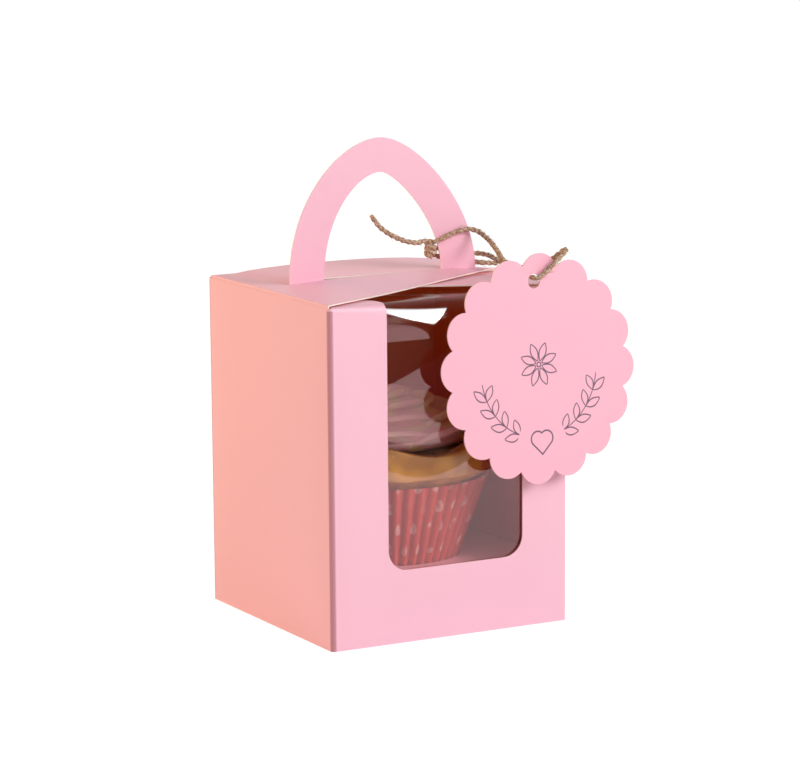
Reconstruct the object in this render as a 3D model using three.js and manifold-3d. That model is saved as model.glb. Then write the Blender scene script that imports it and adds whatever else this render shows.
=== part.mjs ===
// A single-cupcake carrier carton in pink board. It has a film window on its front, a handle that
// stands up from its outer top flap, a scalloped gift tag on jute twine, and one cupcake in an insert.
// Millimetres, +Z up. The front panel faces -Y and the origin is the centre of the footprint at z = 0.

import * as THREE from "three";
import { mergeVertices } from "three/addons/utils/BufferGeometryUtils.js";
import Module from "manifold-3d";

// Box
const WIDTH = 88;
const DEPTH = 88;
const HEIGHT = 112;
const BOARD = 0.45;
const CORNER_RADIUS = 1.2;
const CLEARANCE = 0.3; // between pieces that touch on the real box
const FOLD_DROP = 0.7; // the left wall stops this far under the fold of the handle flap

// Window in the front panel
const WINDOW_WIDTH = 50.2;
const WINDOW_SHIFT = 1.9;
const WINDOW_SILL = 24;
const WINDOW_CORNER = 7;

// Front tabs: what is left of the front panel beside the window folds back under the top flaps
const TAB_DEPTH = 10.4;
const TAB_DROP = 0.5;
const TAB_FOLD_RADIUS = 2.4;
const TAB_CORNER = 5;

// Window film, inside the front panel, bent back under the top flaps
const FILM_THICKNESS = 0.25;
const FILM_MARGIN = 7;
const FILM_BEND_RADIUS = 7.6;
const FILM_TOP_REACH = 14.6;
const FILM_LAP = 12;

// Bottom: two interlocking outer flaps on two side flaps
const BOTTOM_SPLIT = 6;
const BOTTOM_TONGUE = 9;
const BOTTOM_TONGUE_HALF = 17;
const BOTTOM_SLIT = 0.6;
const BOTTOM_SIDE_REACH = 33;
const BOTTOM_SIDE_TAPER = 9;
const SEAM_WIDTH = 13;

// Inner top flaps: the right one lies lowest and the back one bows up over it
const RIGHT_FLAP_FRONT = 8;
const RIGHT_FLAP_TIP = 6;
const RIGHT_FLAP_NOSE = 6;
const BACK_FLAP_RISE = 2.5;
const BACK_FLAP_BOW = 8;
const BACK_FLAP_GAP = 0.6;
const BACK_FLAP_DIP = 0.4;
const BACK_FLAP_SIDE = 0.9;
const BACK_FLAP_SLOPE = 13;
const BACK_FLAP_STEP = 5;
const BACK_FLAP_FALL = 1.9;
const BACK_FLAP_LIP = 3;
const BACK_FLAP_BLEND = 16;
const BACK_FLAP_DOME = 2.5; // power of the dome's curve across the box

// Handle flap: the outer top flap, with the handle standing up from its rear edge
const FLAP_LIFT = 0.4;
const FLAP_FRONT_RISE = 1.1;
const FLAP_REAR_RISE = 2.3;
const FLAP_RISE_LENGTH = 20;
const FLAP_FRONT_START = -0.5; // as a share of the half width, as is the next
const FLAP_DROP_START = 0.45;
const FLAP_TIP_DROP = 1.2;
const FLAP_TIP_INSET = 1;
const FLAP_TIP_WIDTH = 0.9;
const FLAP_SHOULDER = 13;
const FLAP_FOLD_INSET = 0.1;
const LEFT_FOOT_INSET = 8.5;
const RIGHT_FOOT_INSET = 9.4;
const LEFT_LEG_WIDTH = 12.8;
const RIGHT_LEG_WIDTH = 13.2;
const HANDLE_HEIGHT = 47.8;
const HANDLE_BAND = 11.4;
const HANDLE_APEX = -1.6;
const HANDLE_ROOT = 0.3; // how deep the legs start in the flap
const HANDLE_FOOT_RISE = 1; // the legs' curves are measured from this far over the box

// How straight each quarter of the handle runs up its side and along its crown, from 0 to 1
const OUTER_LEFT = { side: 0.63, crown: 0.41 };
const OUTER_RIGHT = { side: 0.51, crown: 0.36 };
const INNER_LEFT = { side: 0.65, crown: 0.38 };
const INNER_RIGHT = { side: 0.51, crown: 0.26 };

// Insert that holds the cupcake upright
const TRAY_TOP = 20.3;
const TRAY_MARGIN = 0.35;
const TRAY_LEG_INSET = 3;

// Cupcake
const CASE_BASE_RADIUS = 22.2;
const CASE_RIM_RADIUS = 34.8;
const CASE_BASE = 14;
const CASE_RIM = 48;
const CASE_PAPER = 0.25;
const CASE_PLEATS = 48;
const CASE_PLEAT_DEPTH = 1.3;
const CROWN_OVERHANG = 1.4;
const CROWN_SIDE = 8;
const CROWN_RISE = 12;
const CROWN_RINGS = [0.8, 0.55, 0.3];
const FROSTING_RADIUS = 29;
const FROSTING_RISE = 19;
const FROSTING_LOBE_COUNT = 7;
const FROSTING_TWIST = 1.3;
const FROSTING_LOBE_DEPTH = 0.055;
const FROSTING_FOOT_SHARE = 0.9; // share of the radius that touches the crown
const FROSTING_OUTLINE = [
  [0.97, 0.015],
  [1.03, 0.16],
  [0.86, 0.38],
  [0.62, 0.58],
  [0.36, 0.8],
  [0.1, 0.97],
]; // shares of the radius and of the rise
const TRIM_THICKNESS = 2.2;
const TRIM_RADIUS = 32.4;
const TRIM_WAVE_COUNT = 6;
const TRIM_WAVE = 0.5;

// Gift tag
const TAG_SCALLOPS = 16;
const TAG_VALLEY_RADIUS = 34;
const TAG_SCALLOP_RADIUS = 7.2;
const TAG_TURN = 3.5;
const TAG_HOLE_RADIUS = 2.4;
const TAG_HOLE_RISE = 28.7;
const TAG_HOLE_SHIFT = -0.5;
const TAG_RIGHT = 30.8;
const TAG_OUT = 4;
const TAG_DROP = 25.6;
const TAG_PITCH = 4.5;
const TAG_YAW = 3;

// Twine
const TWINE = 2;
const TWINE_SIDES = 8;
const KNOT_SIZE = [4.6, 4.4, 6.4];
const KNOT_CORE = 0.8;
const KNOT_TURN_RADIUS = 1.35;
const KNOT_TURN_LIFT = 1.76;

const { lerp, clamp, smoothstep, degToRad } = THREE.MathUtils;
const halfWidth = WIDTH / 2;
const halfDepth = DEPTH / 2;
const innerFront = -halfDepth + BOARD;
const windowLeft = WINDOW_SHIFT - WINDOW_WIDTH / 2;
const windowRight = WINDOW_SHIFT + WINDOW_WIDTH / 2;
const floorTop = 2 * BOARD;

const wasm = await Module();
wasm.setup();

// Turns a closed geometry into a solid, without the triangles that a pole closes up.
function solid(geometry) {
  const bare = geometry.index ? geometry.toNonIndexed() : geometry.clone();
  bare.deleteAttribute("normal");
  bare.deleteAttribute("uv");
  const merged = mergeVertices(bare, 1e-4);
  const index = merged.index.array;
  const triangles = [];
  for (let i = 0; i < index.length; i += 3) {
    const [a, b, c] = [index[i], index[i + 1], index[i + 2]];
    if (a !== b && b !== c && c !== a) triangles.push(a, b, c);
  }
  return new wasm.Manifold(
    new wasm.Mesh({
      numProp: 3,
      vertProperties: new Float32Array(merged.attributes.position.array),
      triVerts: new Uint32Array(triangles),
    }),
  );
}

const join = (...parts) => parts.reduce((whole, part) => whole.add(part));

function mesh(name, body, material) {
  const made = body.getMesh();
  const geometry = new THREE.BufferGeometry();
  geometry.setAttribute("position", new THREE.BufferAttribute(made.vertProperties, 3));
  geometry.setIndex(new THREE.BufferAttribute(made.triVerts, 1));
  geometry.computeVertexNormals();
  const piece = new THREE.Mesh(geometry, material);
  piece.name = name;
  return piece;
}

function finish(color, roughness, extra = {}) {
  return new THREE.MeshStandardMaterial({ color, roughness, metalness: 0, ...extra });
}

// A shape extruded upwards from z = low to z = high.
function plate(shape, low, high, curveSegments = 8) {
  const options = { depth: high - low, bevelEnabled: false, curveSegments };
  return solid(new THREE.ExtrudeGeometry(shape, options).translate(0, 0, low));
}

// A shape drawn in Y and Z, extruded along X.
function alongX(shape, from, to, curveSegments = 8) {
  const options = { depth: to - from, bevelEnabled: false, curveSegments };
  const geometry = new THREE.ExtrudeGeometry(shape, options).translate(0, 0, from);
  const turn = new THREE.Matrix4().set(0, 0, 1, 0, 1, 0, 0, 0, 0, 1, 0, 0, 0, 0, 0, 1);
  return solid(geometry.applyMatrix4(turn));
}

// A shape drawn in X and Z, extruded along Y.
function alongY(shape, from, to, curveSegments = 8) {
  const options = { depth: to - from, bevelEnabled: false, curveSegments };
  const geometry = new THREE.ExtrudeGeometry(shape, options);
  return solid(geometry.rotateX(Math.PI / 2).translate(0, to, 0));
}

function block(x0, x1, y0, y1, z0, z1) {
  const geometry = new THREE.BoxGeometry(x1 - x0, y1 - y0, z1 - z0);
  return solid(geometry.translate((x0 + x1) / 2, (y0 + y1) / 2, (z0 + z1) / 2));
}

function polygon(points) {
  return new THREE.Shape(points.map(([x, y]) => new THREE.Vector2(x, y)));
}

function roundedRectangle(halfX, halfY, radius) {
  const shape = new THREE.Shape();
  shape.moveTo(halfX - radius, -halfY);
  shape.absarc(halfX - radius, -halfY + radius, radius, -Math.PI / 2, 0);
  shape.absarc(halfX - radius, halfY - radius, radius, 0, Math.PI / 2);
  shape.absarc(-halfX + radius, halfY - radius, radius, Math.PI / 2, Math.PI);
  shape.absarc(-halfX + radius, -halfY + radius, radius, Math.PI, 1.5 * Math.PI);
  return shape;
}

// A sheet of board whose upper face is place(u, v) for u and v from 0 to 1.
function bentSheet(columns, rows, place) {
  const geometry = new THREE.BoxGeometry(1, 1, 1, columns, rows, 1);
  const position = geometry.attributes.position;
  for (let i = 0; i < position.count; i++) {
    const [x, y, z] = place(position.getX(i) + 0.5, position.getY(i) + 0.5);
    position.setXYZ(i, x, y, position.getZ(i) > 0 ? z : z - BOARD);
  }
  return solid(geometry);
}

// A profile of [radius, height] points turned about Z; shift may move each point by its angle.
function turned(profile, segments, shift = (r, z) => [r, z]) {
  const points = profile.map(([r, z]) => new THREE.Vector2(r, z));
  const geometry = new THREE.LatheGeometry(points, segments);
  const position = geometry.attributes.position;
  for (let i = 0; i < position.count; i++) {
    const step = Math.floor(i / points.length) % segments;
    const angle = (step / segments) * 2 * Math.PI;
    const [px, pz] = [position.getX(i), position.getZ(i)];
    const [r, z] = shift(Math.hypot(px, pz), position.getY(i), angle, step);
    position.setXYZ(i, r * Math.cos(angle), r * Math.sin(angle), z);
  }
  return solid(geometry);
}

// Four walls, with the window, the front tabs and the lower left wall under the flap's fold.
function walls() {
  const outline = roundedRectangle(halfWidth, halfDepth, CORNER_RADIUS);
  const inner = roundedRectangle(halfWidth - BOARD, halfDepth - BOARD, CORNER_RADIUS - BOARD);
  outline.holes.push(inner);
  const reach = halfDepth * 2;
  const foldStart = HEIGHT - TAB_DROP - TAB_FOLD_RADIUS;
  const tube = plate(outline, 0, HEIGHT)
    .subtract(block(-reach, -halfWidth + BOARD * 2, -reach, reach, HEIGHT - FOLD_DROP, HEIGHT + 1))
    .subtract(
      block(
        -halfWidth + CORNER_RADIUS,
        halfWidth - CORNER_RADIUS,
        -halfDepth - 1,
        -halfDepth + BOARD * 2,
        foldStart,
        HEIGHT + 1,
      ),
    );
  return join(tube, frontTab(-1), frontTab(1)).subtract(windowCut());
}

// side is -1 for the strip left of the window and 1 for the one right of it.
function frontTab(side) {
  const top = HEIGHT - TAB_DROP;
  const radius = TAB_FOLD_RADIUS;
  const fold = new THREE.Shape();
  const centreY = -halfDepth + radius;
  fold.moveTo(-halfDepth, top - radius - BOARD);
  fold.lineTo(innerFront, top - radius - BOARD);
  fold.absarc(centreY, top - radius, radius - BOARD, Math.PI, Math.PI / 2, true);
  fold.lineTo(centreY + 1, top - BOARD);
  fold.lineTo(centreY + 1, top);
  fold.absarc(centreY, top - radius, radius, Math.PI / 2, Math.PI);
  const outer = side * (halfWidth - CORNER_RADIUS * 0.9);
  const inner = side < 0 ? windowLeft : windowRight;
  const [from, to] = side < 0 ? [outer, inner] : [inner, outer];
  const rear = -halfDepth + TAB_DEPTH;
  const flat = new THREE.Shape();
  flat.moveTo(outer, centreY);
  flat.lineTo(inner, centreY);
  flat.lineTo(inner, rear - TAB_CORNER);
  flat.quadraticCurveTo(inner, rear, inner + side * TAB_CORNER, rear);
  flat.lineTo(outer - side * TAB_CORNER, rear);
  return join(alongX(fold, from, to), plate(flat, top - BOARD, top));
}

function windowCut() {
  const top = HEIGHT + 1;
  const corner = WINDOW_CORNER;
  const shape = new THREE.Shape();
  shape.moveTo(windowLeft, top);
  shape.lineTo(windowLeft, WINDOW_SILL + corner);
  shape.absarc(windowLeft + corner, WINDOW_SILL + corner, corner, Math.PI, 1.5 * Math.PI);
  shape.absarc(windowRight - corner, WINDOW_SILL + corner, corner, -Math.PI / 2, 0);
  shape.lineTo(windowRight, top);
  return alongY(shape, -halfDepth - 1, -halfDepth + BOARD * 3);
}

// Two interlocking outer bottom flaps, the two side flaps on them, and the glue seam.
function bottom() {
  const edge = BOARD / 2;
  const [x, y] = [halfWidth - edge, halfDepth - edge];
  const tongue = BOTTOM_SPLIT + BOTTOM_TONGUE;
  const half = BOTTOM_TONGUE_HALF;
  const front = polygon([
    [-x, -y],
    [x, -y],
    [x, BOTTOM_SPLIT],
    [half, BOTTOM_SPLIT],
    [half, tongue],
    [-half, tongue],
    [-half, BOTTOM_SPLIT],
    [-x, BOTTOM_SPLIT],
  ]);
  const slit = BOTTOM_SLIT;
  const back = polygon([
    [-x, y],
    [-x, BOTTOM_SPLIT + slit],
    [-half - slit, BOTTOM_SPLIT + slit],
    [-half - slit, tongue + slit],
    [half + slit, tongue + slit],
    [half + slit, BOTTOM_SPLIT + slit],
    [x, BOTTOM_SPLIT + slit],
    [x, y],
  ]);
  const sides = [-1, 1].map((side) => {
    const inner = side * (x - BOTTOM_SIDE_REACH);
    const shape = polygon([
      [side * x, -y + BOTTOM_SIDE_TAPER],
      [side * x, y - BOTTOM_SIDE_TAPER],
      [inner, y - 2 * BOTTOM_SIDE_TAPER],
      [inner, -y + 2 * BOTTOM_SIDE_TAPER],
    ]);
    return plate(shape, BOARD, floorTop);
  });
  const seam = block(
    -halfWidth + edge,
    -halfWidth + BOARD + SEAM_WIDTH,
    halfDepth - 2 * BOARD,
    halfDepth - edge,
    floorTop,
    HEIGHT - 2,
  );
  return join(plate(front, 0, BOARD), plate(back, 0, BOARD), ...sides, seam);
}

// The right top flap, lowest of the three: flat, pointed, and folded in from the right wall.
function rightTopFlap() {
  const x = halfWidth - BOARD / 2;
  const tip = -halfWidth + RIGHT_FLAP_TIP;
  const shape = polygon([
    [x, -halfDepth + RIGHT_FLAP_FRONT],
    [x, halfDepth - CORNER_RADIUS],
    [halfWidth / 2, halfDepth - CORNER_RADIUS],
    [tip, RIGHT_FLAP_NOSE],
    [tip, 0],
  ]);
  return plate(shape, HEIGHT - BOARD, HEIGHT);
}

// The back top flap bows up behind the handle, and dips at its left under the handle flap's shoulder.
function backTopFlap() {
  const front = BACK_FLAP_GAP;
  const rear = halfDepth - BOARD / 4;
  const side = halfWidth - BACK_FLAP_SIDE;
  const top = HEIGHT + BACK_FLAP_RISE;
  const left = -halfWidth + LEFT_FOOT_INSET + LEFT_LEG_WIDTH;
  const right = halfWidth - RIGHT_FOOT_INSET - RIGHT_LEG_WIDTH;
  return bentSheet(36, 14, (u, v) => {
    const x = lerp(-side, side, u);
    const y = lerp(front, rear, v);
    const risen = smoothstep(x, left - BACK_FLAP_SLOPE, left);
    const fallen = smoothstep(x, right, right + BACK_FLAP_STEP);
    const lip = lerp(HEIGHT - BACK_FLAP_DIP, top, risen) - fallen * BACK_FLAP_FALL;
    const dome = HEIGHT + BACK_FLAP_RISE * (1 - (Math.abs(x) / halfWidth) ** BACK_FLAP_DOME);
    const z = lerp(lip, dome, smoothstep(y, front + BACK_FLAP_LIP, front + BACK_FLAP_BLEND));
    const down = smoothstep(y, rear - BACK_FLAP_BOW, rear);
    return [x, y, lerp(z, HEIGHT, down * down)];
  });
}

// Height of the handle flap's upper face: it rises from its fold to its rear edge at the handle.
function flapFront(x) {
  const tip = halfWidth - FLAP_TIP_INSET;
  return lerp(-halfDepth + BOARD, 0, (x + halfWidth) / (tip + halfWidth));
}

function flapTop(x, y) {
  const start = HEIGHT + FLAP_LIFT;
  const tip = halfWidth - FLAP_TIP_INSET;
  const away = x + halfWidth;
  const front = start + FLAP_FRONT_RISE * smoothstep(x, halfWidth * FLAP_FRONT_START, tip);
  const rise = FLAP_REAR_RISE * (1 - Math.exp(-away / FLAP_RISE_LENGTH));
  const rear = start + rise - FLAP_TIP_DROP * smoothstep(x, halfWidth * FLAP_DROP_START, tip);
  const edge = Math.min(flapFront(x), -1);
  return lerp(front, rear, clamp((y - edge) / -edge, 0, 1));
}

function handleFlap() {
  const left = -halfWidth + FLAP_FOLD_INSET;
  const tip = halfWidth - FLAP_TIP_INSET - FLAP_TIP_WIDTH;
  const foot = -halfWidth + LEFT_FOOT_INSET;
  const sheet = bentSheet(40, 6, (u, v) => {
    const x = lerp(left, tip, u);
    const shoulder = clamp((foot - x) / (foot - left), 0, 1) * FLAP_SHOULDER;
    const y = lerp(flapFront(x), BOARD / 2 + shoulder, v);
    return [x, y, flapTop(x, y)];
  });
  return join(sheet, handleArch());
}

// The arched handle: its outer and inner edges are each a left and a right curve to the apex.
function handleArch() {
  const base = HEIGHT + HANDLE_FOOT_RISE;
  const apex = HEIGHT + HANDLE_HEIGHT;
  const root = (x) => flapTop(x, 0) - HANDLE_ROOT;
  const leftFoot = -halfWidth + LEFT_FOOT_INSET;
  const rightFoot = halfWidth - RIGHT_FOOT_INSET;
  const edges = [
    { left: leftFoot, right: rightFoot, top: apex, curves: [OUTER_LEFT, OUTER_RIGHT] },
    {
      left: leftFoot + LEFT_LEG_WIDTH,
      right: rightFoot - RIGHT_LEG_WIDTH,
      top: apex - HANDLE_BAND,
      curves: [INNER_LEFT, INNER_RIGHT],
    },
  ];
  const [outer, inner] = edges.map(({ left, right, top, curves }) => {
    const [rising, falling] = curves;
    const climb = top - base;
    const edge = new THREE.Path();
    edge.moveTo(left, root(left));
    edge.lineTo(left, root(left) + 2 * HANDLE_ROOT);
    edge.bezierCurveTo(
      left,
      base + climb * rising.side,
      HANDLE_APEX - (HANDLE_APEX - left) * rising.crown,
      top,
      HANDLE_APEX,
      top,
    );
    edge.bezierCurveTo(
      HANDLE_APEX + (right - HANDLE_APEX) * falling.crown,
      top,
      right,
      base + climb * falling.side,
      right,
      root(right) + 2 * HANDLE_ROOT,
    );
    edge.lineTo(right, root(right));
    return edge.getPoints(20);
  });
  return alongY(new THREE.Shape([...outer, ...inner.reverse()]), -BOARD / 2, BOARD / 2);
}

// The film stands behind the front panel, then bends back and lies under the front tabs and flaps.
function windowFilm() {
  const face = innerFront + CLEARANCE;
  const top = HEIGHT - TAB_DROP - BOARD - CLEARANCE;
  const radius = FILM_BEND_RADIUS;
  const bottomEdge = WINDOW_SILL - FILM_LAP;
  const centre = face + radius;
  const shape = new THREE.Shape();
  shape.moveTo(face, bottomEdge);
  shape.lineTo(face + FILM_THICKNESS, bottomEdge);
  shape.absarc(centre, top - radius, radius - FILM_THICKNESS, Math.PI, Math.PI / 2, true);
  shape.lineTo(centre + FILM_TOP_REACH, top - FILM_THICKNESS);
  shape.lineTo(centre + FILM_TOP_REACH, top);
  shape.absarc(centre, top - radius, radius, Math.PI / 2, Math.PI);
  return alongX(shape, windowLeft - FILM_MARGIN, windowRight + FILM_MARGIN, 10);
}

// Outer radius of the paper case's pleats at a height.
function caseRadius(z) {
  const t = (z - CASE_BASE) / (CASE_RIM - CASE_BASE);
  return lerp(CASE_BASE_RADIUS, CASE_RIM_RADIUS, t);
}

// A platform with a round hole, carried by two folded legs.
function insertTray() {
  const y = halfDepth - BOARD - CLEARANCE - FILM_THICKNESS - TRAY_MARGIN;
  const x = halfWidth - BOARD - TRAY_MARGIN;
  const holeRadius = caseRadius(TRAY_TOP) + CLEARANCE;
  const platform = polygon([
    [-x, -y],
    [x, -y],
    [x, y - BOARD],
    [-x, y - BOARD],
  ]);
  platform.holes.push(new THREE.Path().absarc(0, 0, holeRadius, 0, 2 * Math.PI));
  const reach = y - TRAY_LEG_INSET;
  const foot = floorTop + CLEARANCE;
  const legs = [-1, 1].map((side) => {
    const [from, to] = side < 0 ? [-x, -x + BOARD] : [x - BOARD, x];
    return block(from, to, -reach, reach, foot, TRAY_TOP - BOARD / 2);
  });
  return join(plate(platform, TRAY_TOP - BOARD, TRAY_TOP, 24), ...legs);
}

function paperCase() {
  const wall = CASE_PAPER;
  const profile = [
    [0, CASE_BASE],
    [CASE_BASE_RADIUS, CASE_BASE],
    [CASE_RIM_RADIUS, CASE_RIM],
    [CASE_RIM_RADIUS - wall, CASE_RIM],
    [CASE_BASE_RADIUS - wall, CASE_BASE + wall],
    [0, CASE_BASE + wall],
  ];
  return turned(profile, CASE_PLEATS * 2, (r, z, angle, step) => [
    step % 2 && r > CASE_BASE_RADIUS / 2 ? r - CASE_PLEAT_DEPTH : r,
    z,
  ]);
}

// Height of the cake's domed crown at a radius.
function crownTop(r) {
  const edge = CASE_RIM + CROWN_SIDE;
  return edge + (CROWN_RISE - CROWN_SIDE) * (1 - (r / CASE_RIM_RADIUS) ** 2);
}

function cake() {
  const inside = CASE_PLEAT_DEPTH + CASE_PAPER + CLEARANCE;
  const base = CASE_BASE + CASE_PAPER + CLEARANCE;
  const overRim = CASE_RIM + CLEARANCE;
  const bulge = CASE_RIM_RADIUS + CROWN_OVERHANG;
  const side = new THREE.QuadraticBezierCurve(
    new THREE.Vector2(CASE_RIM_RADIUS, overRim),
    new THREE.Vector2(bulge + CROWN_OVERHANG, (overRim + crownTop(bulge)) / 2),
    new THREE.Vector2(CASE_RIM_RADIUS - 1, crownTop(CASE_RIM_RADIUS - 1)),
  );
  const profile = [
    [0, base],
    [caseRadius(base) - inside, base],
    [caseRadius(CASE_RIM) - inside, overRim],
    ...side.getPoints(6).map((p) => [p.x, p.y]),
  ];
  for (const share of CROWN_RINGS) {
    profile.push([CASE_RIM_RADIUS * share, crownTop(CASE_RIM_RADIUS * share)]);
  }
  profile.push([0, crownTop(0)]);
  return turned(profile, 44);
}

// Swirled frosting: the lobes turn as they rise, and narrow to a peak.
function frosting() {
  const seat = (r) => crownTop(r) + CLEARANCE;
  const foot = seat(FROSTING_RADIUS * FROSTING_FOOT_SHARE);
  const outline = new THREE.SplineCurve(
    FROSTING_OUTLINE.map(
      ([out, up]) => new THREE.Vector2(FROSTING_RADIUS * out, foot + FROSTING_RISE * up),
    ),
  );
  const profile = [
    [0, seat(0)],
    [FROSTING_RADIUS / 2, seat(FROSTING_RADIUS / 2)],
    [FROSTING_RADIUS * FROSTING_FOOT_SHARE, foot],
    ...outline.getPoints(12).map((p) => [p.x, p.y]),
    [0, foot + FROSTING_RISE],
  ];
  return turned(profile, 49, (r, z, angle) => {
    const risen = clamp((z - foot) / FROSTING_RISE, 0, 1);
    const phase = FROSTING_LOBE_COUNT * (angle - FROSTING_TWIST * risen);
    const lobe = z > foot ? 1 + FROSTING_LOBE_DEPTH * Math.cos(phase) : 1;
    return [r * lobe, z];
  });
}

// A wavy ribbon of caramel on the crown, round the frosting's foot.
function caramelTrim() {
  const tube = TRIM_THICKNESS / 2;
  const geometry = new THREE.TorusGeometry(TRIM_RADIUS, tube, 6, 72);
  const position = geometry.attributes.position;
  const point = new THREE.Vector3();
  for (let i = 0; i < position.count; i++) {
    point.fromBufferAttribute(position, i);
    const angle = Math.atan2(point.y, point.x);
    const swing = TRIM_WAVE * Math.cos(TRIM_WAVE_COUNT * angle);
    const radius = Math.hypot(point.x, point.y) + swing;
    const seat = crownTop(TRIM_RADIUS - tube + swing) + CLEARANCE + tube;
    position.setXYZ(i, radius * Math.cos(angle), radius * Math.sin(angle), point.z + seat);
  }
  return solid(geometry);
}

// The tag's outline: equal scallops round a circle, with a punched hole near its top.
function giftTag() {
  const pitch = (2 * Math.PI) / TAG_SCALLOPS;
  const halfChord = TAG_VALLEY_RADIUS * Math.sin(pitch / 2);
  const spread = Math.asin(halfChord / TAG_SCALLOP_RADIUS);
  const centre =
    TAG_VALLEY_RADIUS * Math.cos(pitch / 2) - TAG_SCALLOP_RADIUS * Math.cos(spread);
  const shape = new THREE.Shape();
  for (let i = 0; i < TAG_SCALLOPS; i++) {
    const angle = Math.PI / 2 - degToRad(TAG_TURN) + i * pitch;
    const [x, y] = [centre * Math.cos(angle), centre * Math.sin(angle)];
    shape.absarc(x, y, TAG_SCALLOP_RADIUS, angle - spread, angle + spread);
  }
  const hole = new THREE.Path();
  hole.absarc(TAG_HOLE_SHIFT, TAG_HOLE_RISE, TAG_HOLE_RADIUS, 0, 2 * Math.PI);
  shape.holes.push(hole);
  return alongY(shape, -BOARD / 2, BOARD / 2, 8);
}

const tagCentre = new THREE.Vector3(TAG_RIGHT, -halfDepth - TAG_OUT, HEIGHT - TAG_DROP);
const tagTurn = new THREE.Euler(-degToRad(TAG_PITCH), 0, degToRad(TAG_YAW), "ZXY");
const tagHole = new THREE.Vector3(TAG_HOLE_SHIFT, 0, TAG_HOLE_RISE)
  .applyEuler(tagTurn)
  .add(tagCentre);

// The twine's points are measured from the right leg's middle at flap height, and from the tag's hole.
const legFoot = new THREE.Vector3(
  halfWidth - RIGHT_FOOT_INSET - RIGHT_LEG_WIDTH / 2,
  0,
  HEIGHT,
);
const fromLeg = (x, y, z) => new THREE.Vector3(x, y, z).add(legFoot);
const fromHole = (x, y, z) => new THREE.Vector3(x, y, z).add(tagHole);

const loopRoute = [
  fromLeg(-7.4, -1.9, 12.8),
  fromLeg(-4.2, -1.8, 14.1),
  fromLeg(0.2, -1.7, 15.2),
  fromLeg(3.6, -1.9, 15.4),
  fromLeg(5.7, -3.6, 14.7),
  fromLeg(6.4, -7, 13.4),
  fromLeg(5.9, -12, 11.9),
  fromLeg(3.7, -20, 10),
  fromLeg(-0.1, -30, 8.5),
  fromHole(-2.6, 7, 3.4),
  fromHole(-0.9, 3.2, 1.8),
  fromHole(0.2, 0, 1.05),
  fromHole(1.1, -1.7, 1.3),
  fromHole(3.4, -2, 2.9),
  fromHole(6.9, -1.9, 5.7),
  fromHole(9.9, -1.6, 8.1),
  fromHole(11.9, -0.6, 9.4),
  fromHole(12.4, 1.4, 9.2),
  fromHole(11.7, 3.6, 7.7),
  fromLeg(11.4, -37, 7),
  fromLeg(10.4, -28, 5),
  fromLeg(10.4, -19, 3.9),
  fromLeg(10.2, -11, 4.9),
  fromLeg(9.7, -5, 6.3),
  fromLeg(8.6, -1.4, 6.7),
  fromLeg(6.7, 1.5, 6.8),
  fromLeg(3.6, 2, 7.3),
  fromLeg(-1.4, 2, 8),
  fromLeg(-5.4, 2, 8.8),
  fromLeg(-7.2, 2.1, 9.3),
];

const longTailRoute = [
  fromLeg(-13.3, -0.9, 12.4),
  fromLeg(-16.8, -1.4, 12.1),
  fromLeg(-21.4, -1.5, 13.1),
  fromLeg(-26.6, -1.5, 15.5),
  fromLeg(-30.8, -1.5, 18.6),
  fromLeg(-33.6, -1.4, 22.2),
];

const shortTailRoute = [
  fromLeg(-7.6, 3.6, 7),
  fromLeg(-4, 4.2, 5.8),
  fromLeg(1, 4, 4.8),
  fromLeg(5, 3.2, 4.1),
  fromLeg(9, 1.7, 3.4),
  fromLeg(12.4, 0.7, 3.1),
  fromLeg(15.4, 0.1, 2.9),
];

function twineTube(route, steps) {
  const section = new THREE.Shape();
  section.absarc(0, 0, TWINE / 2, 0, 2 * Math.PI);
  const extrudePath = new THREE.CatmullRomCurve3(route);
  const options = { extrudePath, steps, curveSegments: TWINE_SIDES / 2, bevelEnabled: false };
  return solid(new THREE.ExtrudeGeometry(section, options));
}

// The knot: three turns of twine round a small core, beside the leg.
function twineKnot() {
  const [x, y, z] = KNOT_SIZE;
  const ball = new THREE.SphereGeometry(KNOT_CORE / 2, 14, 10);
  const turn = (tilt, roll, lift) => {
    const ring = new THREE.TorusGeometry(KNOT_TURN_RADIUS, TWINE * 0.45, 6, 14);
    return solid(ring.rotateX(tilt).rotateY(roll).translate(0, 0, lift));
  };
  return join(
    solid(ball.scale(x, y, z)),
    turn(0.35, 0.2, KNOT_TURN_LIFT),
    turn(0.9, 0.5, 0),
    turn(-0.3, -0.25, -KNOT_TURN_LIFT),
  );
}

const pinkBoard = finish(0xffbfd0, 0.42);
const filmFinish = finish(0xd8c4c8, 0.08, { transparent: true, opacity: 0.35 });
const paperRed = finish(0xd2605f, 0.75);
const cakeBrown = finish(0xb06a28, 0.8);
const frostingPink = finish(0xf0b8bd, 0.45);
const caramelGold = finish(0xb9792a, 0.35);
const jute = finish(0xa9815c, 0.95);

const cupcakeBox = new THREE.Group();
cupcakeBox.add(
  mesh("carton", join(walls(), bottom(), rightTopFlap(), backTopFlap()), pinkBoard),
  mesh("handle_flap", handleFlap(), pinkBoard),
  mesh("window_film", windowFilm(), filmFinish),
  mesh("insert_tray", insertTray(), pinkBoard),
  mesh("paper_case", paperCase(), paperRed),
  mesh("cake", cake(), cakeBrown),
  mesh("frosting", frosting(), frostingPink),
  mesh("caramel_trim", caramelTrim(), caramelGold),
);

const tag = mesh("gift_tag", giftTag(), pinkBoard);
tag.position.copy(tagCentre);
tag.rotation.copy(tagTurn);
cupcakeBox.add(tag);

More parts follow.
